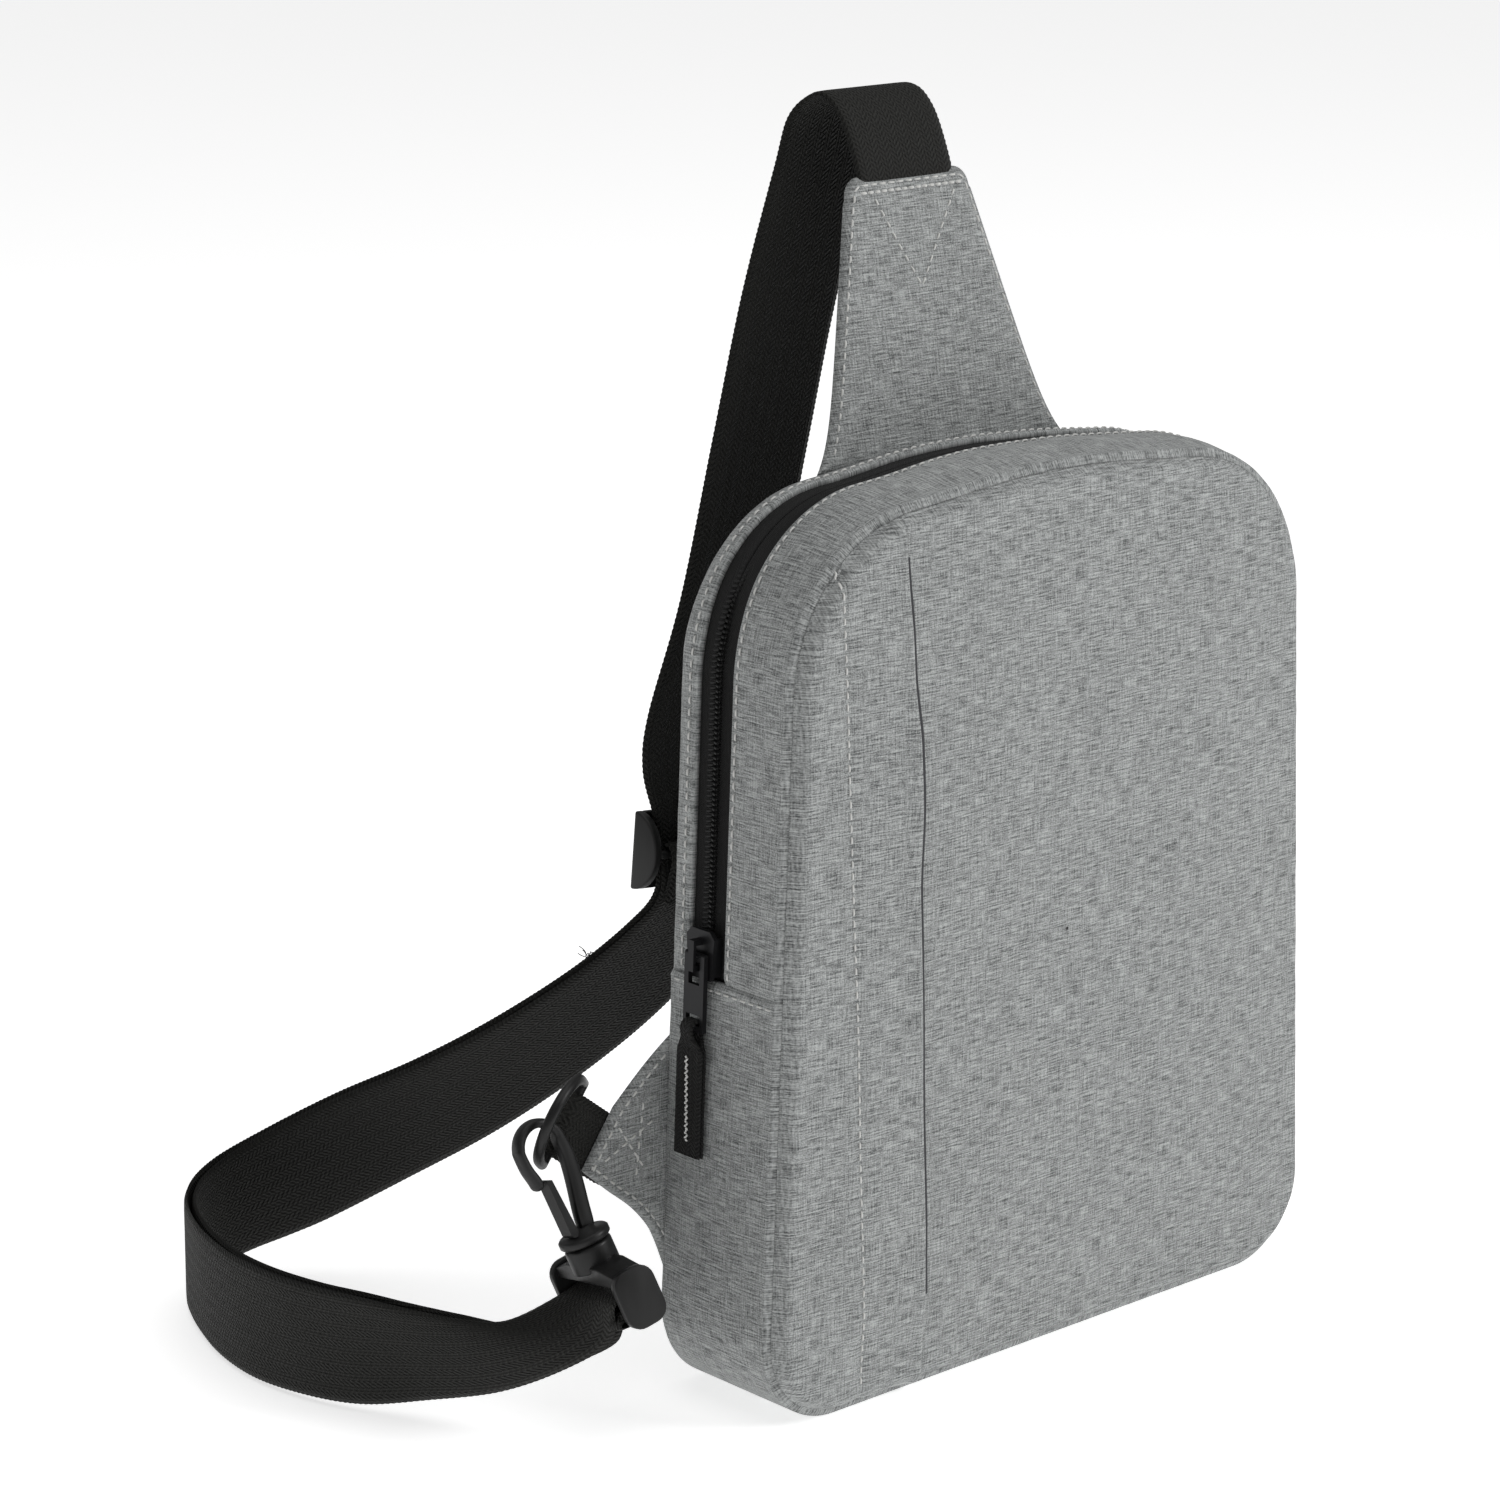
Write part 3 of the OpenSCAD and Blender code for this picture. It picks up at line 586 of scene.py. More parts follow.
def coil(name, y_side, node):
    """One side of the coil: a row of wire loops, each a rounded tooth that reaches over the middle."""
    pitch = 1.45
    count = int((ZIP_LEFT - ZIP_RIGHT - 2) / pitch)
    verts, faces = [], []
    sides, steps = 6, 9
    for k in range(count):
        s = ZIP_RIGHT + 1 + (k + (0.5 if y_side > 0 else 0)) * pitch
        t = np.linspace(-1.35, 1.35, steps)
        y = ZIP_Y + y_side * (COIL_W / 4 - 0.1 + (COIL_W / 4 - 0.35) * -np.cos(t * 1.16))
        grow = 1.9 + 0.62 * np.sin(t * 1.16)
        along = s + 0.22 * t
        p, n = LINE.at(along, grow)
        points = np.stack([p[:, 0], y, p[:, 1]], -1)
        direction = unit(np.gradient(points, axis=0))
        out = np.stack([n[:, 0], np.zeros(steps), n[:, 1]], -1)
        side = unit(np.cross(direction, out))
        up = np.cross(side, direction)
        start = len(verts)
        for i in range(steps):
            for a in range(sides):
                angle = 2 * math.pi * a / sides
                verts.append(points[i] + 0.42 * (math.cos(angle) * side[i] + math.sin(angle) * up[i]))
        faces += grid_faces(steps, sides, wrap_cols=True, start=start)
        faces.append(tuple(start + a for a in range(sides)))
        faces.append(tuple(start + (steps - 1) * sides + a for a in reversed(range(sides))))
    return finish_piece(make_mesh(name, verts, faces), "bag", COIL, [node])


def gusset_stitches(name, s0, s1, y, material=GREY_THREAD):
    count = max(2, int(abs(s1 - s0) / 1.2))
    s = np.linspace(s0, s1, count)
    points, normals = on_gusset(s, np.full(count, y))
    return stitches(name, points, normals, material)


# ---------------------------------------------------------------- webbing

def spline(points, steps):
    """A Catmull-Rom line through the points."""
    p = np.asarray(points, float)
    out = []
    for i in range(len(p) - 1):
        a, b, c, d = p[max(i - 1, 0)], p[i], p[i + 1], p[min(i + 2, len(p) - 1)]
        for k in range(steps):
            t = k / steps
            out.append(0.5 * (2 * b + (c - a) * t + (2 * a - 5 * b + 4 * c - d) * t ** 2
                              + (3 * b - a - 3 * c + d) * t ** 3))
    out.append(p[-1])
    return np.array(out)


def resample(left, right, step):
    middle = (left + right) / 2
    run = np.concatenate([[0], np.cumsum(np.linalg.norm(np.diff(middle, axis=0), axis=1))])
    s = np.linspace(0, run[-1], int(run[-1] / step) + 1)
    pick = [np.stack([np.interp(s, run, e[:, a]) for a in range(3)], -1) for e in (left, right)]
    return pick[0], pick[1], s


def band_mesh(name, left, right, thick, material, body, nodes, step=0.8, cols=17, scallop=0.28,
              rib=0.0, cup=0.0):
    """Flat webbing between two edge lines, with rounded, slightly scalloped edges."""
    left, right, s = resample(np.asarray(left, float), np.asarray(right, float), step)
    n = len(s)
    across = unit(right - left)
    run = np.gradient((left + right) / 2, axis=0)
    normal = unit(np.cross(across, run))
    width = np.linalg.norm(right - left, axis=1)
    t = np.linspace(-1, 1, cols)
    t = np.sign(t) * np.abs(t) ** 0.85
    edge = scallop * np.abs(np.sin(math.pi * s / 1.6))
    rows = []
    middle = (left + right) / 2
    profile = np.sqrt(np.clip(1 - np.abs(t) ** 14, 0, 1))
    ribs = rib * np.sin(2 * math.pi * s / 1.25)
    for side in (1, -1):
        for j in range(cols):
            offset = t[j] * (width / 2 - scallop + edge)
            height = side * thick / 2 * profile[j] + cup * (t[j] ** 2 - 0.3) + side * ribs * profile[j]
            rows.append(middle + across * offset[:, None] + normal * height[:, None])
    ring = rows[:cols] + rows[cols:][::-1][1:-1]
    place = np.concatenate([t, t[::-1][1:-1]]) / 2
    verts = np.stack(ring, 1).reshape(-1, 3)
    uvs = np.stack([np.outer(width, place).ravel(), np.repeat(s, len(ring))], -1)
    m = len(ring)
    faces = grid_faces(n, m, wrap_cols=True)
    faces.append(tuple(range(m)))
    faces.append(tuple((n - 1) * m + j for j in reversed(range(m))))
    obj = make_mesh(name, verts, faces, uvs)
    return finish_piece(obj, body, material, nodes)


# The strap's route, the same points as in part.scad: left edge, right edge
UPPER = [((-20.5, 35, 316), (17.5, 35, 316)), ((-20.5, 38.2, 331), (17.5, 38.2, 331)),
         ((-20.5, 40.4, 341), (17.5, 40.4, 341)),
         ((-22, 46, 356), (16, 46, 356)), ((-24, 53, 362), (14, 53, 362)),
         ((-28, 60, 356), (10, 60, 356)), ((-32, 62, 341), (6, 62, 338)),
         ((-46, 60, 307), (-9, 60, 301)), ((-60, 57, 267), (-23, 57, 260)),
         ((-76, 53, 223), (-39, 53, 216)), ((-91, 50, 192), (-53, 51, 187)),
         ((-94, 49, 177), (-56, 50, 173)), ((-90.6, 49, 164), (-52.8, 49, 161))]
LOWER = [((-90.6, 49, 164), (-52.8, 49, 161)), ((-90, 49, 152), (-52.5, 49, 148)),
         ((-89.5, 49.4, 140), (-52.5, 49.4, 135)), ((-92, 58, 129), (-58, 57, 118)),
         ((-99, 76, 112), (-67, 75, 94)),
         ((-110, 100, 93), (-79, 97, 71)), ((-120, 124, 77), (-93, 119, 51)),
         ((-131, 148, 63), (-108, 143, 33)), ((-145, 166, 50), (-127, 164, 17)),
         ((-161, 172, 42), (-151, 180, 6)), ((-176, 163, 39), (-173, 168, 2)),
         ((-188, 142, 38.5), (-187, 139, 1)), ((-195, 118, 38.5), (-193, 111, 1)),
         ((-197, 96, 39), (-191, 88, 1.5)), ((-194, 76, 39), (-184, 68, 2.5)),
         ((-189, 59, 39), (-173, 51, 6)), ((-181, 46, 37), (-163, 31, 12)),
         ((-172, 36, 35), (-156, 11, 23)), ((-162, 29, 34), (-151, -4, 35))]
INTO_HOOK = [((-7, 19, 3.2), (-7, -19, 3.2)), ((0, 19, 3.9), (0, -19, 3.9))]
HOOK_AT = np.array([-143.0, 6.0, 42.0])
HOOK_TURN = (-18.0, -15.0)
BASE_TURN = -10.0
BAR_R = 3.0
BUCKLE_AT = 3                        # the buckle's station on the lower run, three stations to a span


def turn(axis, degrees):
    c, s = math.cos(math.radians(degrees)), math.sin(math.radians(degrees))
    return {"x": np.array([[1, 0, 0], [0, c, -s], [0, s, c]]),
            "y": np.array([[c, 0, s], [0, 1, 0], [-s, 0, c]]),
            "z": np.array([[c, -s, 0], [s, c, 0], [0, 0, 1]])}[axis]


HOOK_FRAME = turn("y", HOOK_TURN[1]) @ turn("x", HOOK_TURN[0])
BASE_FRAME = HOOK_FRAME @ turn("z", BASE_TURN)


def from_base(points):
    return HOOK_AT + np.asarray(points, float) @ BASE_FRAME.T


def build_straps():
    wrap_r = BAR_R + 0.1 + STRAP_T / 2
    down = [spline([p[k] for p in UPPER], 8) for k in (0, 1)]
    back = [spline([p[k] for p in LOWER] + [tuple(from_base(p[k])) for p in INTO_HOOK], 8) for k in (0, 1)]
    angles = np.radians(np.arange(75, -91, -5))
    wrap = [from_base(np.stack([wrap_r * np.cos(angles), np.full(len(angles), side * STRAP_W / 2),
                                wrap_r * np.sin(angles)], -1)) for side in (1, -1)]
    edges = [np.concatenate([down[k], back[k][1:], wrap[k]]) for k in (0, 1)]
    band_mesh("shoulder_strap", edges[0], edges[1], STRAP_T, WEBBING, "bag", ["strap"])
    # the doubled end: behind the main run, from the buckle's middle bar to the hook
    coarse = [spline([p[k] for p in LOWER] + [tuple(from_base(p[k])) for p in INTO_HOOK], 3) for k in (0, 1)]
    last = len(coarse[0]) - 1
    route = [(6.4, 4.5), (5.2, 4.9), (4.4, 6.1), (3.7, 7.5), (3.1, 7.8), (2.6, 7.1), (2.38, 5.3), (2.6, 3.5),
             (3.1, 2.8), (3.8, 2.5), (4.6, 2.4)]
    route += [(s, 2.4) for s in range(5, last - 5)]
    route += [(s, 2.4 + 4.9 * ((s - last + 6) / 6) ** 2) for s in range(last - 5, last - 1)]
    run = np.gradient(coarse[0] + coarse[1], axis=0)
    normal = unit(np.cross(coarse[1] - coarse[0], run))
    ends = [from_base([(-8, side * STRAP_W / 2, -3), (-3, side * STRAP_W / 2, -wrap_r),
                       (0, side * STRAP_W / 2, -wrap_r)]) for side in (1, -1)]
    lines = []
    for k in (0, 1):
        line = []
        for s, behind in route:
            i = min(int(s), last - 1)
            p = coarse[k][i] + (s - i) * (coarse[k][i + 1] - coarse[k][i])
            line.append(p - behind * normal[min(int(round(s)), last)])
        lines.append(spline(np.concatenate([line, ends[k]]), 5))
    band_mesh("strap_return_run", lines[0], lines[1], STRAP_T, WEBBING, "bag", ["strap_return"])


build_straps()


# ---------------------------------------------------------------- the bag

panel("front_cloth", -1, ["front_panel"])
panel("rear_cloth", 1, ["back_panel"])
placket()
# dark strip beside the placket's free edge: painted shadow, and the dark inside of the gaping pocket
pocket_slit_and_painted_shadow()
STRIP_FRONT, STRIP_REAR = ZIP_Y - ZIP_GAP / 2, ZIP_Y + ZIP_GAP / 2
strip("gusset_lower", ZIP_LEFT - LINE.length, ZIP_RIGHT, -HALF, HALF, ["lower_gusset"],
      fold=("start", "end"))
strip("gusset_front", ZIP_RIGHT - 3, ZIP_LEFT + 3, -HALF, STRIP_FRONT, ["gusset_front_strip"],
      fold=("high",), drop=0.05)
strip("gusset_rear", ZIP_RIGHT - 3, ZIP_LEFT + 3, STRIP_REAR, HALF, ["gusset_rear_strip"],
      fold=("low",), drop=0.05)
strip("tape_front", ZIP_RIGHT - 3, ZIP_LEFT + 3, STRIP_FRONT - 3, ZIP_Y - 0.2, ["zip_tape_front"], drop=2.1,
      material=TAPE, thick=0.6)
strip("tape_rear", ZIP_RIGHT - 3, ZIP_LEFT + 3, ZIP_Y + 0.2, STRIP_REAR + 2.5, ["zip_tape_rear"], drop=2.1,
      material=TAPE, thick=0.6)
coil("coil_front", -1, "zip_coil_front")
coil("coil_rear", 1, "zip_coil_rear")
gusset_stitches("stitch_zip_front", ZIP_RIGHT + 1, ZIP_LEFT - 1, STRIP_FRONT - 2.4)
gusset_stitches("stitch_zip_rear", ZIP_RIGHT + 1, ZIP_LEFT - 1, STRIP_REAR + 2.4)
for tag, place in (("left", ZIP_LEFT + 2.6), ("right", ZIP_RIGHT - 2.6)):
    y = np.linspace(-HALF + 3, HALF - 3, 40)
    p, n = on_gusset(np.full(40, place), y)
    stitches("stitch_end_" + tag, p, n, GREY_THREAD)
z = np.linspace(8, 246, 160)
p, n = placket_point(PLACKET_STITCH, z, 0.85)
stitches("stitch_placket", p, n, GREY_THREAD)

# ---------------------------------------------------------------- tabs

TAB_X, TAB_Z, TAB_LEAN = -1.5, 262.0, math.radians(12)
TOP_TAB_T, SIDE_TAB_T = 3.8, 4.4


def on_top_tab(x, y, z):
    """The top tab's own frame: x across, y through, z up along the leaning tab."""
    return np.stack([TAB_X + x, HALF + y * math.cos(TAB_LEAN) + z * math.sin(TAB_LEAN),
                     TAB_Z - y * math.sin(TAB_LEAN) + z * math.cos(TAB_LEAN)], -1)


def on_side_tab(x, y, z):
    return np.stack([x, HALF + y, z], -1)


def even_loop(points, step):
    points = np.asarray(points, float)
    closed = np.vstack([points, points[:1]])
    run = np.concatenate([[0], np.cumsum(np.linalg.norm(np.diff(closed, axis=0), axis=1))])
    s = np.linspace(0, run[-1], int(run[-1] / step), endpoint=False)
    return np.stack([np.interp(s, run, closed[:, k]) for k in (0, 1)], -1)


def tab_height(flat, edge, thick, seam, seed):
    """Half thickness of a sewn tab at each flat point: rounded edge, stitched groove, soft middle."""
    d = np.concatenate([np.sqrt(((flat[i:i + 2000, None] - edge[None]) ** 2).sum(-1)).min(1)
                        for i in range(0, len(flat), 2000)])
    rim = np.sqrt(np.clip(1 - (1 - np.clip(d / 1.7, 0, 1)) ** 2, 0, 1))
    groove = 0.5 * np.exp(-((d - seam) / 0.75) ** 2)
    points = np.stack([flat[:, 0], flat[:, 1], np.full(len(flat), seed)], -1)
    soft = 0.35 * fbm(points, 24, seed) * step01(d / 9)
    return thick / 2 * rim - groove * step01(d / 1.5) + soft


def tab(name, outline, place, thick, seam, seed, node, rings=40):
    """A flat sewn tab and the function that gives points and normals on its front."""
    edge = even_loop(outline, 0.9)
    centre = edge.mean(0)
    shares = 1 - np.linspace(0.985, 0, rings) ** 0.7
    layers = [centre + (edge - centre) * k for k in shares]
    heights = [tab_height(p, edge, thick, seam, seed) for p in layers[:-1]] + [np.zeros(len(edge))]
    verts = [place(p[:, 0], -h, p[:, 1]) for p, h in zip(layers, heights)]
    verts += [place(p[:, 0], h, p[:, 1]) for p, h in zip(layers[-2::-1], heights[-2::-1])]
    flat = layers + layers[-2::-1]
    n = len(edge)
    rows = len(verts)
    faces = grid_faces(rows, n, wrap_cols=True)
    faces.append(tuple(reversed(range(n))))
    faces.append(tuple((rows - 1) * n + j for j in range(n)))
    obj = make_mesh(name, np.concatenate(verts), faces, np.concatenate(flat) + (seed * 50, 0))
    finish_piece(obj, "bag", HEATHER, [node])

    def front(points):
        points = np.asarray(points, float)
        h = tab_height(points, edge, thick, seam, seed)
        base = place(points[:, 0], -h, points[:, 1])
        outward = place(points[:, 0], -h - 1, points[:, 1]) - base
        return base, outward

    return edge, front


def sew(name, line, front, material=GREY_THREAD, **style):
    line = spline(np.asarray(line, float), 12)
    p, n = front(line)
    stitches(name, p, n, material, **style)


def inset_line(edge, distance, keep):
    """The outline moved inwards, as the longest run of points for which keep(point) holds."""
    run = np.roll(edge, -1, axis=0) - np.roll(edge, 1, axis=0)
    inward = unit(np.stack([-run[:, 1], run[:, 0]], -1))
    points = edge + inward * distance
    good = np.array([keep(p) for p in points])
    first = int(np.argmax(~good))
    points, good = np.roll(points, -first, axis=0), np.roll(good, -first)
    return points[good]


def build_top_tab():
    z = np.linspace(-3, 72, 40)
    side = 23.5 + 21 * (1 - z / 79) + 3.2 * np.exp(-z / 8)
    turn_in = np.radians(np.arange(0, 91, 10))
    right = [(x, h) for x, h in zip(side, z)]
    right += [(18.7 + 6 * math.cos(a), 73 + 6 * math.sin(a)) for a in turn_in]
    outline = right + [(-x, h) for x, h in reversed(right)]
    edge, front = tab("top_tab_cloth", outline, on_top_tab, TOP_TAB_T, 2.6, 1.3, "top_tab")
    line = inset_line(edge, 2.6, lambda p: p[1] > 1)
    p, n = front(line)
    stitches("stitch_tab_edge", p, n, GREY_THREAD)
    sew("stitch_tab_bar", [(-20, 74.2), (0, 74.2), (20, 74.2)], front, pitch=2.6, gap=0.5, r=0.45)
    sew("stitch_tab_v_left", [(-15, 73), (-1, 46)], front)
    sew("stitch_tab_v_right", [(-1, 46), (17, 73)], front)


def build_side_tab():
    upper = spline([(-98, 110), (-105, 107.5), (-116, 100), (-127.6, 90.2)], 8)
    lower = spline([(-139.2, 74), (-130, 66), (-120.5, 58), (-113.5, 49), (-108.5, 37.5), (-104, 26),
                    (-98, 18)], 8)
    outline = list(upper) + list(lower)
    edge, front = tab("side_tab_cloth", outline, on_side_tab, SIDE_TAB_T, 2.4, 2.1, "side_tab")
    line = inset_line(edge, 2.4, lambda p: p[0] < -108.5)
    p, n = front(line)
    stitches("stitch_side_edge", p, n, GREY_THREAD)
    sew("stitch_side_a", [(-127.5, 85), (-118, 70.5)], front)
    sew("stitch_side_b", [(-133, 75.5), (-114, 84)], front)
    sew("stitch_side_c", [(-118, 90.5), (-121, 68)], front)


build_top_tab()
build_side_tab()

RING_AT = np.array([-143.8, 25.8, 88.5])
LOOP_FRAME = turn("y", 127)
LOOP_L, LOOP_W = 13.5, 19.0


def build_side_loop():
    wrap_r = 2.5
    arc = np.radians(np.arange(10, 171, 10))
    path = [(0.85, 9), (0.9, 2), (1.7, -6), (2.4, -11.5)]
    path += [(wrap_r * math.cos(a), -LOOP_L - wrap_r * math.sin(a)) for a in arc]
    path += [(-2.4, -11.5), (-1.7, -6), (-0.9, 2), (-0.85, 9)]
    path = spline(path, 5)
    edges = []
    for side in (-1, 1):
        local = np.stack([np.full(len(path), side * LOOP_W / 2), path[:, 0], path[:, 1] + LOOP_L], -1)
        edges.append(RING_AT + local @ LOOP_FRAME.T)
    band_mesh("side_loop_webbing", edges[0], edges[1], 1.3, WEBBING, "bag", ["side_loop"],
              cols=13)


build_side_loop()

# ---------------------------------------------------------------- the pull's ribbon

SLIDER_AT = np.array([-103.83, 7.5, 134.6])
SLIDER_FRAME = turn("y", 2.496)
PIVOT_OUT, PULL_L = 7.05, 21.0
RIBBON_W, RIBBON_L = 11.0, 37.0


def from_hole(points):
    """The frame of the pull's hole: x inwards, z up the pull."""
    return SLIDER_AT + (np.asarray(points, float) + (-PIVOT_OUT, 0, -PULL_L)) @ SLIDER_FRAME.T


def build_ribbon():
    loop_r = 2.2
    down = np.linspace(-5.5, -RIBBON_L, 22)
    arc = np.radians(np.arange(0, 181, 15))
    path = [(0.62, z) for z in down[::-1]] + [(1.5, -3.2)]
    path += [(loop_r * math.cos(a), loop_r * math.sin(a)) for a in arc]
    path += [(-1.5, -3.2)] + [(-0.62, z) for z in down]
    path = spline(path, 4)
    width = 5.0 + (RIBBON_W - 5.0) * step01((-path[:, 1] - 1.5) / 5.5)
    edges = []
    for side in (-1, 1):
        edges.append(from_hole(np.stack([path[:, 0], side * width / 2, path[:, 1]], -1)))
    band_mesh("pull_ribbon_band", edges[0], edges[1], 1.15, GROSGRAIN, "ribbon", ["pull_ribbon"],
              step=0.5, cols=15, scallop=0.12, rib=0.1)
    z = np.arange(-8, -33, -0.85)
    y = 0.45 * (-1.0) ** np.arange(len(z)) + 0.035 * (z + 20)
    line = from_hole(np.stack([np.full(len(z), -1.25), y, z], -1))
    outward = np.tile(SLIDER_FRAME @ np.array([-1.0, 0, 0]), (len(z), 1))
    stitches("stitch_ribbon", line, outward, WHITE_THREAD, body="ribbon", pitch=0.96, gap=0.0, r=0.3,
             sink=0.0)


build_ribbon()


def loose_thread():
    """A few frayed fibres at the edge of the webbing behind the bag."""
    rng = np.random.default_rng(4)
    verts, faces = [], []
    sides = 5
    for _ in range(7):
        root = np.array([-97.0, 70.5, 116.5]) + rng.normal(0, 0.5, 3)
        away = unit(np.array([-0.5, -0.3, 0.8]) + rng.normal(0, 0.35, 3))
        bend = rng.normal(0, 1.2, 3)
        t = np.linspace(0, 1, 8)
        points = root + np.outer(t * rng.uniform(3, 6), away) + np.outer(t ** 2, bend)
        along = unit(np.gradient(points, axis=0))
        across = unit(np.cross(along, (0.3, 1, 0.2)))
        up = np.cross(across, along)
        start = len(verts)
        for i in range(8):
            for a in range(sides):
                angle = 2 * math.pi * a / sides
                verts.append(points[i] + 0.13 * (math.cos(angle) * across[i] + math.sin(angle) * up[i]))
        faces += grid_faces(8, sides, wrap_cols=True, start=start)
        faces.append(tuple(start + 7 * sides + a for a in range(sides)))
        faces.append(tuple(start + a for a in reversed(range(sides))))
    finish_piece(make_mesh("loose_thread", verts, faces), "bag", BLACK_THREAD)


loose_thread()

# ---------------------------------------------------------------- hook

def prism(verts, faces, outline, low, high, place):
    """Adds a flat outline drawn out from low to high. place(a, b, c) takes the outline's two values
    and the height."""
    outline = np.asarray(outline, float)
    n, start = len(outline), len(verts)
    for c in (low, high):
        verts += [tuple(place(p[0], p[1], c)) for p in outline]
    faces.append(tuple(start + i for i in reversed(range(n))))
    faces.append(tuple(start + n + i for i in range(n)))
    faces += [(start + i, start + (i + 1) % n, start + n + (i + 1) % n, start + n + i) for i in range(n)]


def lathe(verts, faces, profile, place, sides=48):
    """Adds a solid turned about the frame's Z axis from (radius, height) pairs."""
    start = len(verts)
    for r, h in profile:
        for a in np.linspace(0, 2 * math.pi, sides, endpoint=False):
            verts.append(tuple(place(r * math.cos(a), r * math.sin(a), h)))
    faces += grid_faces(len(profile), sides, wrap_cols=True, start=start)
    faces.append(tuple(start + a for a in reversed(range(sides))))
    faces.append(tuple(start + (len(profile) - 1) * sides + a for a in range(sides)))


def rounded_box(x0, z0, x1, z1, r):
    out = []
    for cx, cz, a0 in ((x1 - r, z1 - r, 0), (x0 + r, z1 - r, 90), (x0 + r, z0 + r, 180),
                       (x1 - r, z0 + r, 270)):
        out += [(cx + r * math.cos(math.radians(a0 + a)), cz + r * math.sin(math.radians(a0 + a)))
                for a in range(0, 91, 15)]
    return out


def soften(obj, width, segments=3, angle=35):
    bevel = obj.modifiers.new("rounded", "BEVEL")
    bevel.width = width * MM
    bevel.segments = segments
    bevel.limit_method = "ANGLE"
    bevel.angle_limit = math.radians(angle)
    return obj


def build_hook_base():
    verts, faces = [], []

    def base(x, y, z):
        return from_base((x, y, z))

    slot, cheek = 39.0, 2.9
    for side in (-1, 1):
        near, far = side * slot / 2, side * (slot / 2 + cheek)
        prism(verts, faces, rounded_box(-6.5, -5.5, 6.0, 11.5, 4.5), min(near, far), max(near, far),
              lambda x, z, y: base(x, y, z))
    half = slot / 2 + 0.5
    bridge = [(-half, 7.2), (half, 7.2), (half, 10.2), (10, 12.4), (-10, 12.4), (-half, 10.2)]
    prism(verts, faces, bridge, -4.6, 4.6, lambda y, z, x: base(x, y, z))
    lathe(verts, faces, [(6.9, 10.5), (6.9, 17.2), (6.4, 17.9), (3.6, 17.9)], base)
    lathe(verts, faces, [(3.0, -slot / 2), (3.0, slot / 2)], lambda a, b, c: base(a, c, -b), 32)
    obj = make_mesh("hook_base_moulding", verts, faces)
    finish_piece(soften(obj, 0.9), "bag", PLASTIC, ["hook_base"])


def from_swivel(points):
    return HOOK_AT + np.asarray(points, float) @ HOOK_FRAME.T


def build_hook_body():
    eye_x, eye_z, eye_r = -1.5, 48.0, 6.85
    arc = np.radians(np.arange(-8, 181, 12))
    path = [(1.4, 19.5), (2.7, 27), (4.4, 35), (5.4, 42)]
    path += [(eye_x + eye_r * math.cos(a), eye_z + eye_r * math.sin(a)) for a in arc]
    path += [(-8.1, 44.5), (-7.2, 40.5), (-6.9, 37.6)]
    line = spline(path, 6)
    t = np.linspace(0, 1, len(line))
    in_plane = 2.5 - 1.15 * step01(t / 0.34) + 0.25 * step01((t - 0.86) / 0.1)
    through = np.full(len(line), 2.25)
    end = np.minimum(np.arange(len(line)), np.arange(len(line))[::-1])
    shrink = np.sqrt(np.clip(1 - (1 - np.clip(end / 4, 0, 1)) ** 2, 0.05, 1))
    run = unit(np.gradient(line, axis=0))
    verts, faces = [], []
    sides = 20
    for i in range(len(line)):
        for a in range(sides):
            c, q = math.cos(2 * math.pi * a / sides), math.sin(2 * math.pi * a / sides)
            flat = math.copysign(abs(c) ** 0.75, c) * in_plane[i] * shrink[i]
            deep = math.copysign(abs(q) ** 0.6, q) * through[i] * shrink[i]
            point = (line[i][0] + run[i][1] * flat, deep, line[i][1] - run[i][0] * flat)
            verts.append(tuple(from_swivel(point)))
    faces += grid_faces(len(line), sides, wrap_cols=True)
    faces.append(tuple(reversed(range(sides))))
    faces.append(tuple((len(line) - 1) * sides + a for a in range(sides)))
    collar = [(3.9, 12), (3.9, 18.4), (7.0, 18.4), (7.5, 18.9), (7.5, 20.4), (7.0, 20.9), (4.2, 20.9),
              (3.4, 22.5)]
    lathe(verts, faces, collar, lambda a, b, c: from_swivel((a, b, c)))
    obj = make_mesh("hook_moulding", verts, faces)
    finish_piece(obj, "hook", PLASTIC, ["hook_body"])


def build_buckle():
    """A three-bar slide with D-shaped side rails, in the buckle's frame of part.scad: X along the bars,
    Y away from the bag, Z up the strap."""
    coarse = [spline([p[k] for p in LOWER], 3) for k in (0, 1)]
    left, right = coarse[0][BUCKLE_AT], coarse[1][BUCKLE_AT]
    after, before = BUCKLE_AT + 1, BUCKLE_AT - 1
    run = coarse[0][after] + coarse[1][after] - coarse[0][before] - coarse[1][before]
    x = unit(right - left)
    y = unit(np.cross(right - left, run))
    axes = np.stack([x, y, np.cross(x, y)])

    def place(a, b, c):
        return (left + right) / 2 + np.array([a, b, c], float) @ axes

    inner, rail = STRAP_W / 2 + 2, 2.8          # where the side rails start, and their width
    back, belly, half_long = 3.6, 10.2, 11.4    # rear face, depth and half length of a rail
    bar_front, bar_z, bar_half = 1.5, 9.4, 2    # the outer bars
    middle_y, middle_r = -5.3, 1.3              # the middle bar
    reach = inner + 0.4
    verts, faces = [], []
    half_turn = np.radians(np.linspace(90, -90, 25))
    bow = [(back - belly * math.cos(a), half_long * math.sin(a)) for a in half_turn]
    for side in (-1, 1):
        near, far = side * inner, side * (inner + rail)
        prism(verts, faces, bow, min(near, far), max(near, far), lambda b, c, a: place(a, b, c))
    for side in (-1, 1):
        low, high = side * bar_z - bar_half, side * bar_z + bar_half
        prism(verts, faces, [(bar_front, low), (back, low), (back, high), (bar_front, high)],
              -reach, reach, lambda b, c, a: place(a, b, c))
    lathe(verts, faces, [(middle_r, -reach), (middle_r, reach)],
          lambda a, b, c: place(c, a + middle_y, b), 24)
    obj = make_mesh("slider_buckle_moulding", verts, faces)
    finish_piece(soften(obj, 0.7), "bag", PLASTIC, ["slider_buckle"])


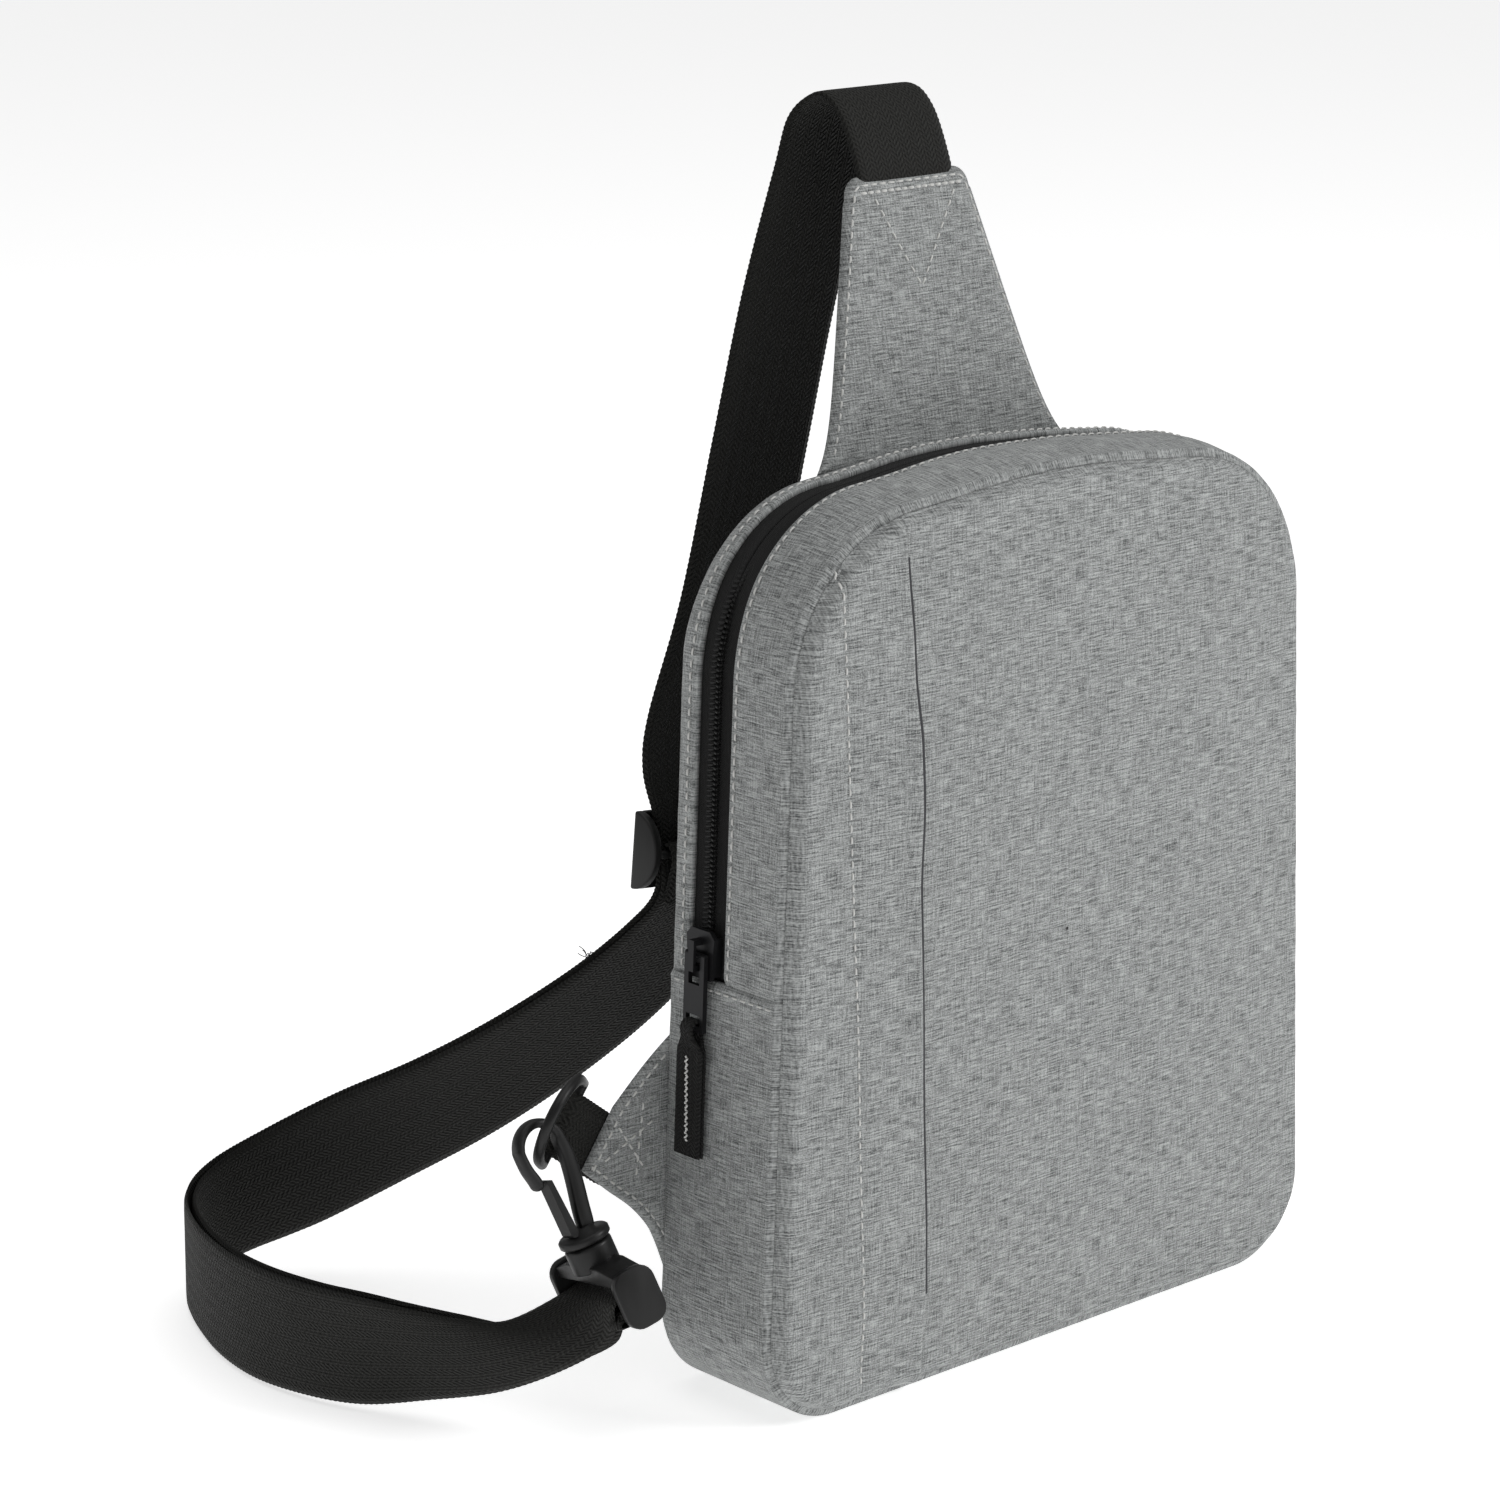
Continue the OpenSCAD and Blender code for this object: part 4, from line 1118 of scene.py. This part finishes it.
build_hook_base()
build_hook_body()
build_buckle()

# hidden cloth keeps its CAD shape; the small hardware keeps it too, with rounded edges
for node, material in (("pocket_lining", LINING), ("main_lining", LINING), ("binding_front", TAPE),
                       ("binding_rear", TAPE)):
    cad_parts[node].data.materials.clear()
    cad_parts[node].data.materials.append(material)
for node, material, width in (("zip_slider", ZIP_METAL, 0.35), ("zip_pull", ZIP_METAL, 0.3),
                              ("d_ring", PLASTIC, 0), ("hook_gate", PLASTIC, 0.5)):
    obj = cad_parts[node]
    obj.data.materials.clear()
    obj.data.materials.append(material)
    if width:
        soften(obj, width, angle=40)


# ---------------------------------------------------------------- studio

def build_studio():
    cam = bpy.data.cameras.new("camera")
    cam.lens = LENS
    cam.sensor_width = 36.0
    cam.clip_start = 0.05
    camera = bpy.data.objects.new("camera", cam)
    scene.collection.objects.link(camera)
    camera.location = Vector(CAMERA_AT) * MM
    camera.rotation_euler = (math.radians(90 - ELEVATION), 0, math.radians(AZIMUTH))
    scene.camera = camera

    world = bpy.data.worlds.new("studio")
    world.use_nodes = True
    world.node_tree.nodes["Background"].inputs["Color"].default_value = (1, 1, 1, 1)
    world.node_tree.nodes["Background"].inputs["Strength"].default_value = 0.26
    scene.view_settings.view_transform = "Standard"
    scene.world = world

    mesh = bpy.data.meshes.new("floor")
    mesh.from_pydata([(-6, -6, 0), (6, -6, 0), (6, 6, 0), (-6, 6, 0)], [], [(0, 1, 2, 3)])
    floor = bpy.data.objects.new("floor", mesh)
    scene.collection.objects.link(floor)
    material, _, _, shader = new_material("floor")
    shader.inputs["Base Color"].default_value = (0.93, 0.93, 0.93, 1)
    shader.inputs["Roughness"].default_value = 0.85
    shader.inputs["Emission Color"].default_value = (1, 1, 1, 1)
    shader.inputs["Emission Strength"].default_value = 0.62
    mesh.materials.append(material)

    for name, place, size, power in (("key", (1.0, -1.5, 1.2), 0.7, 17),
                                     ("fill", (-1.7, -0.6, 1.0), 1.2, 0.5),
                                     ("top", (0, 0, 2.4), 2.4, 20)):
        data = bpy.data.lights.new(name, "AREA")
        data.size = size
        data.energy = power
        light = bpy.data.objects.new(name, data)
        light.location = place
        light.rotation_euler = (Vector((0, 0, 0.15)) - Vector(place)).to_track_quat("-Z", "Y").to_euler()
        scene.collection.objects.link(light)


build_studio()
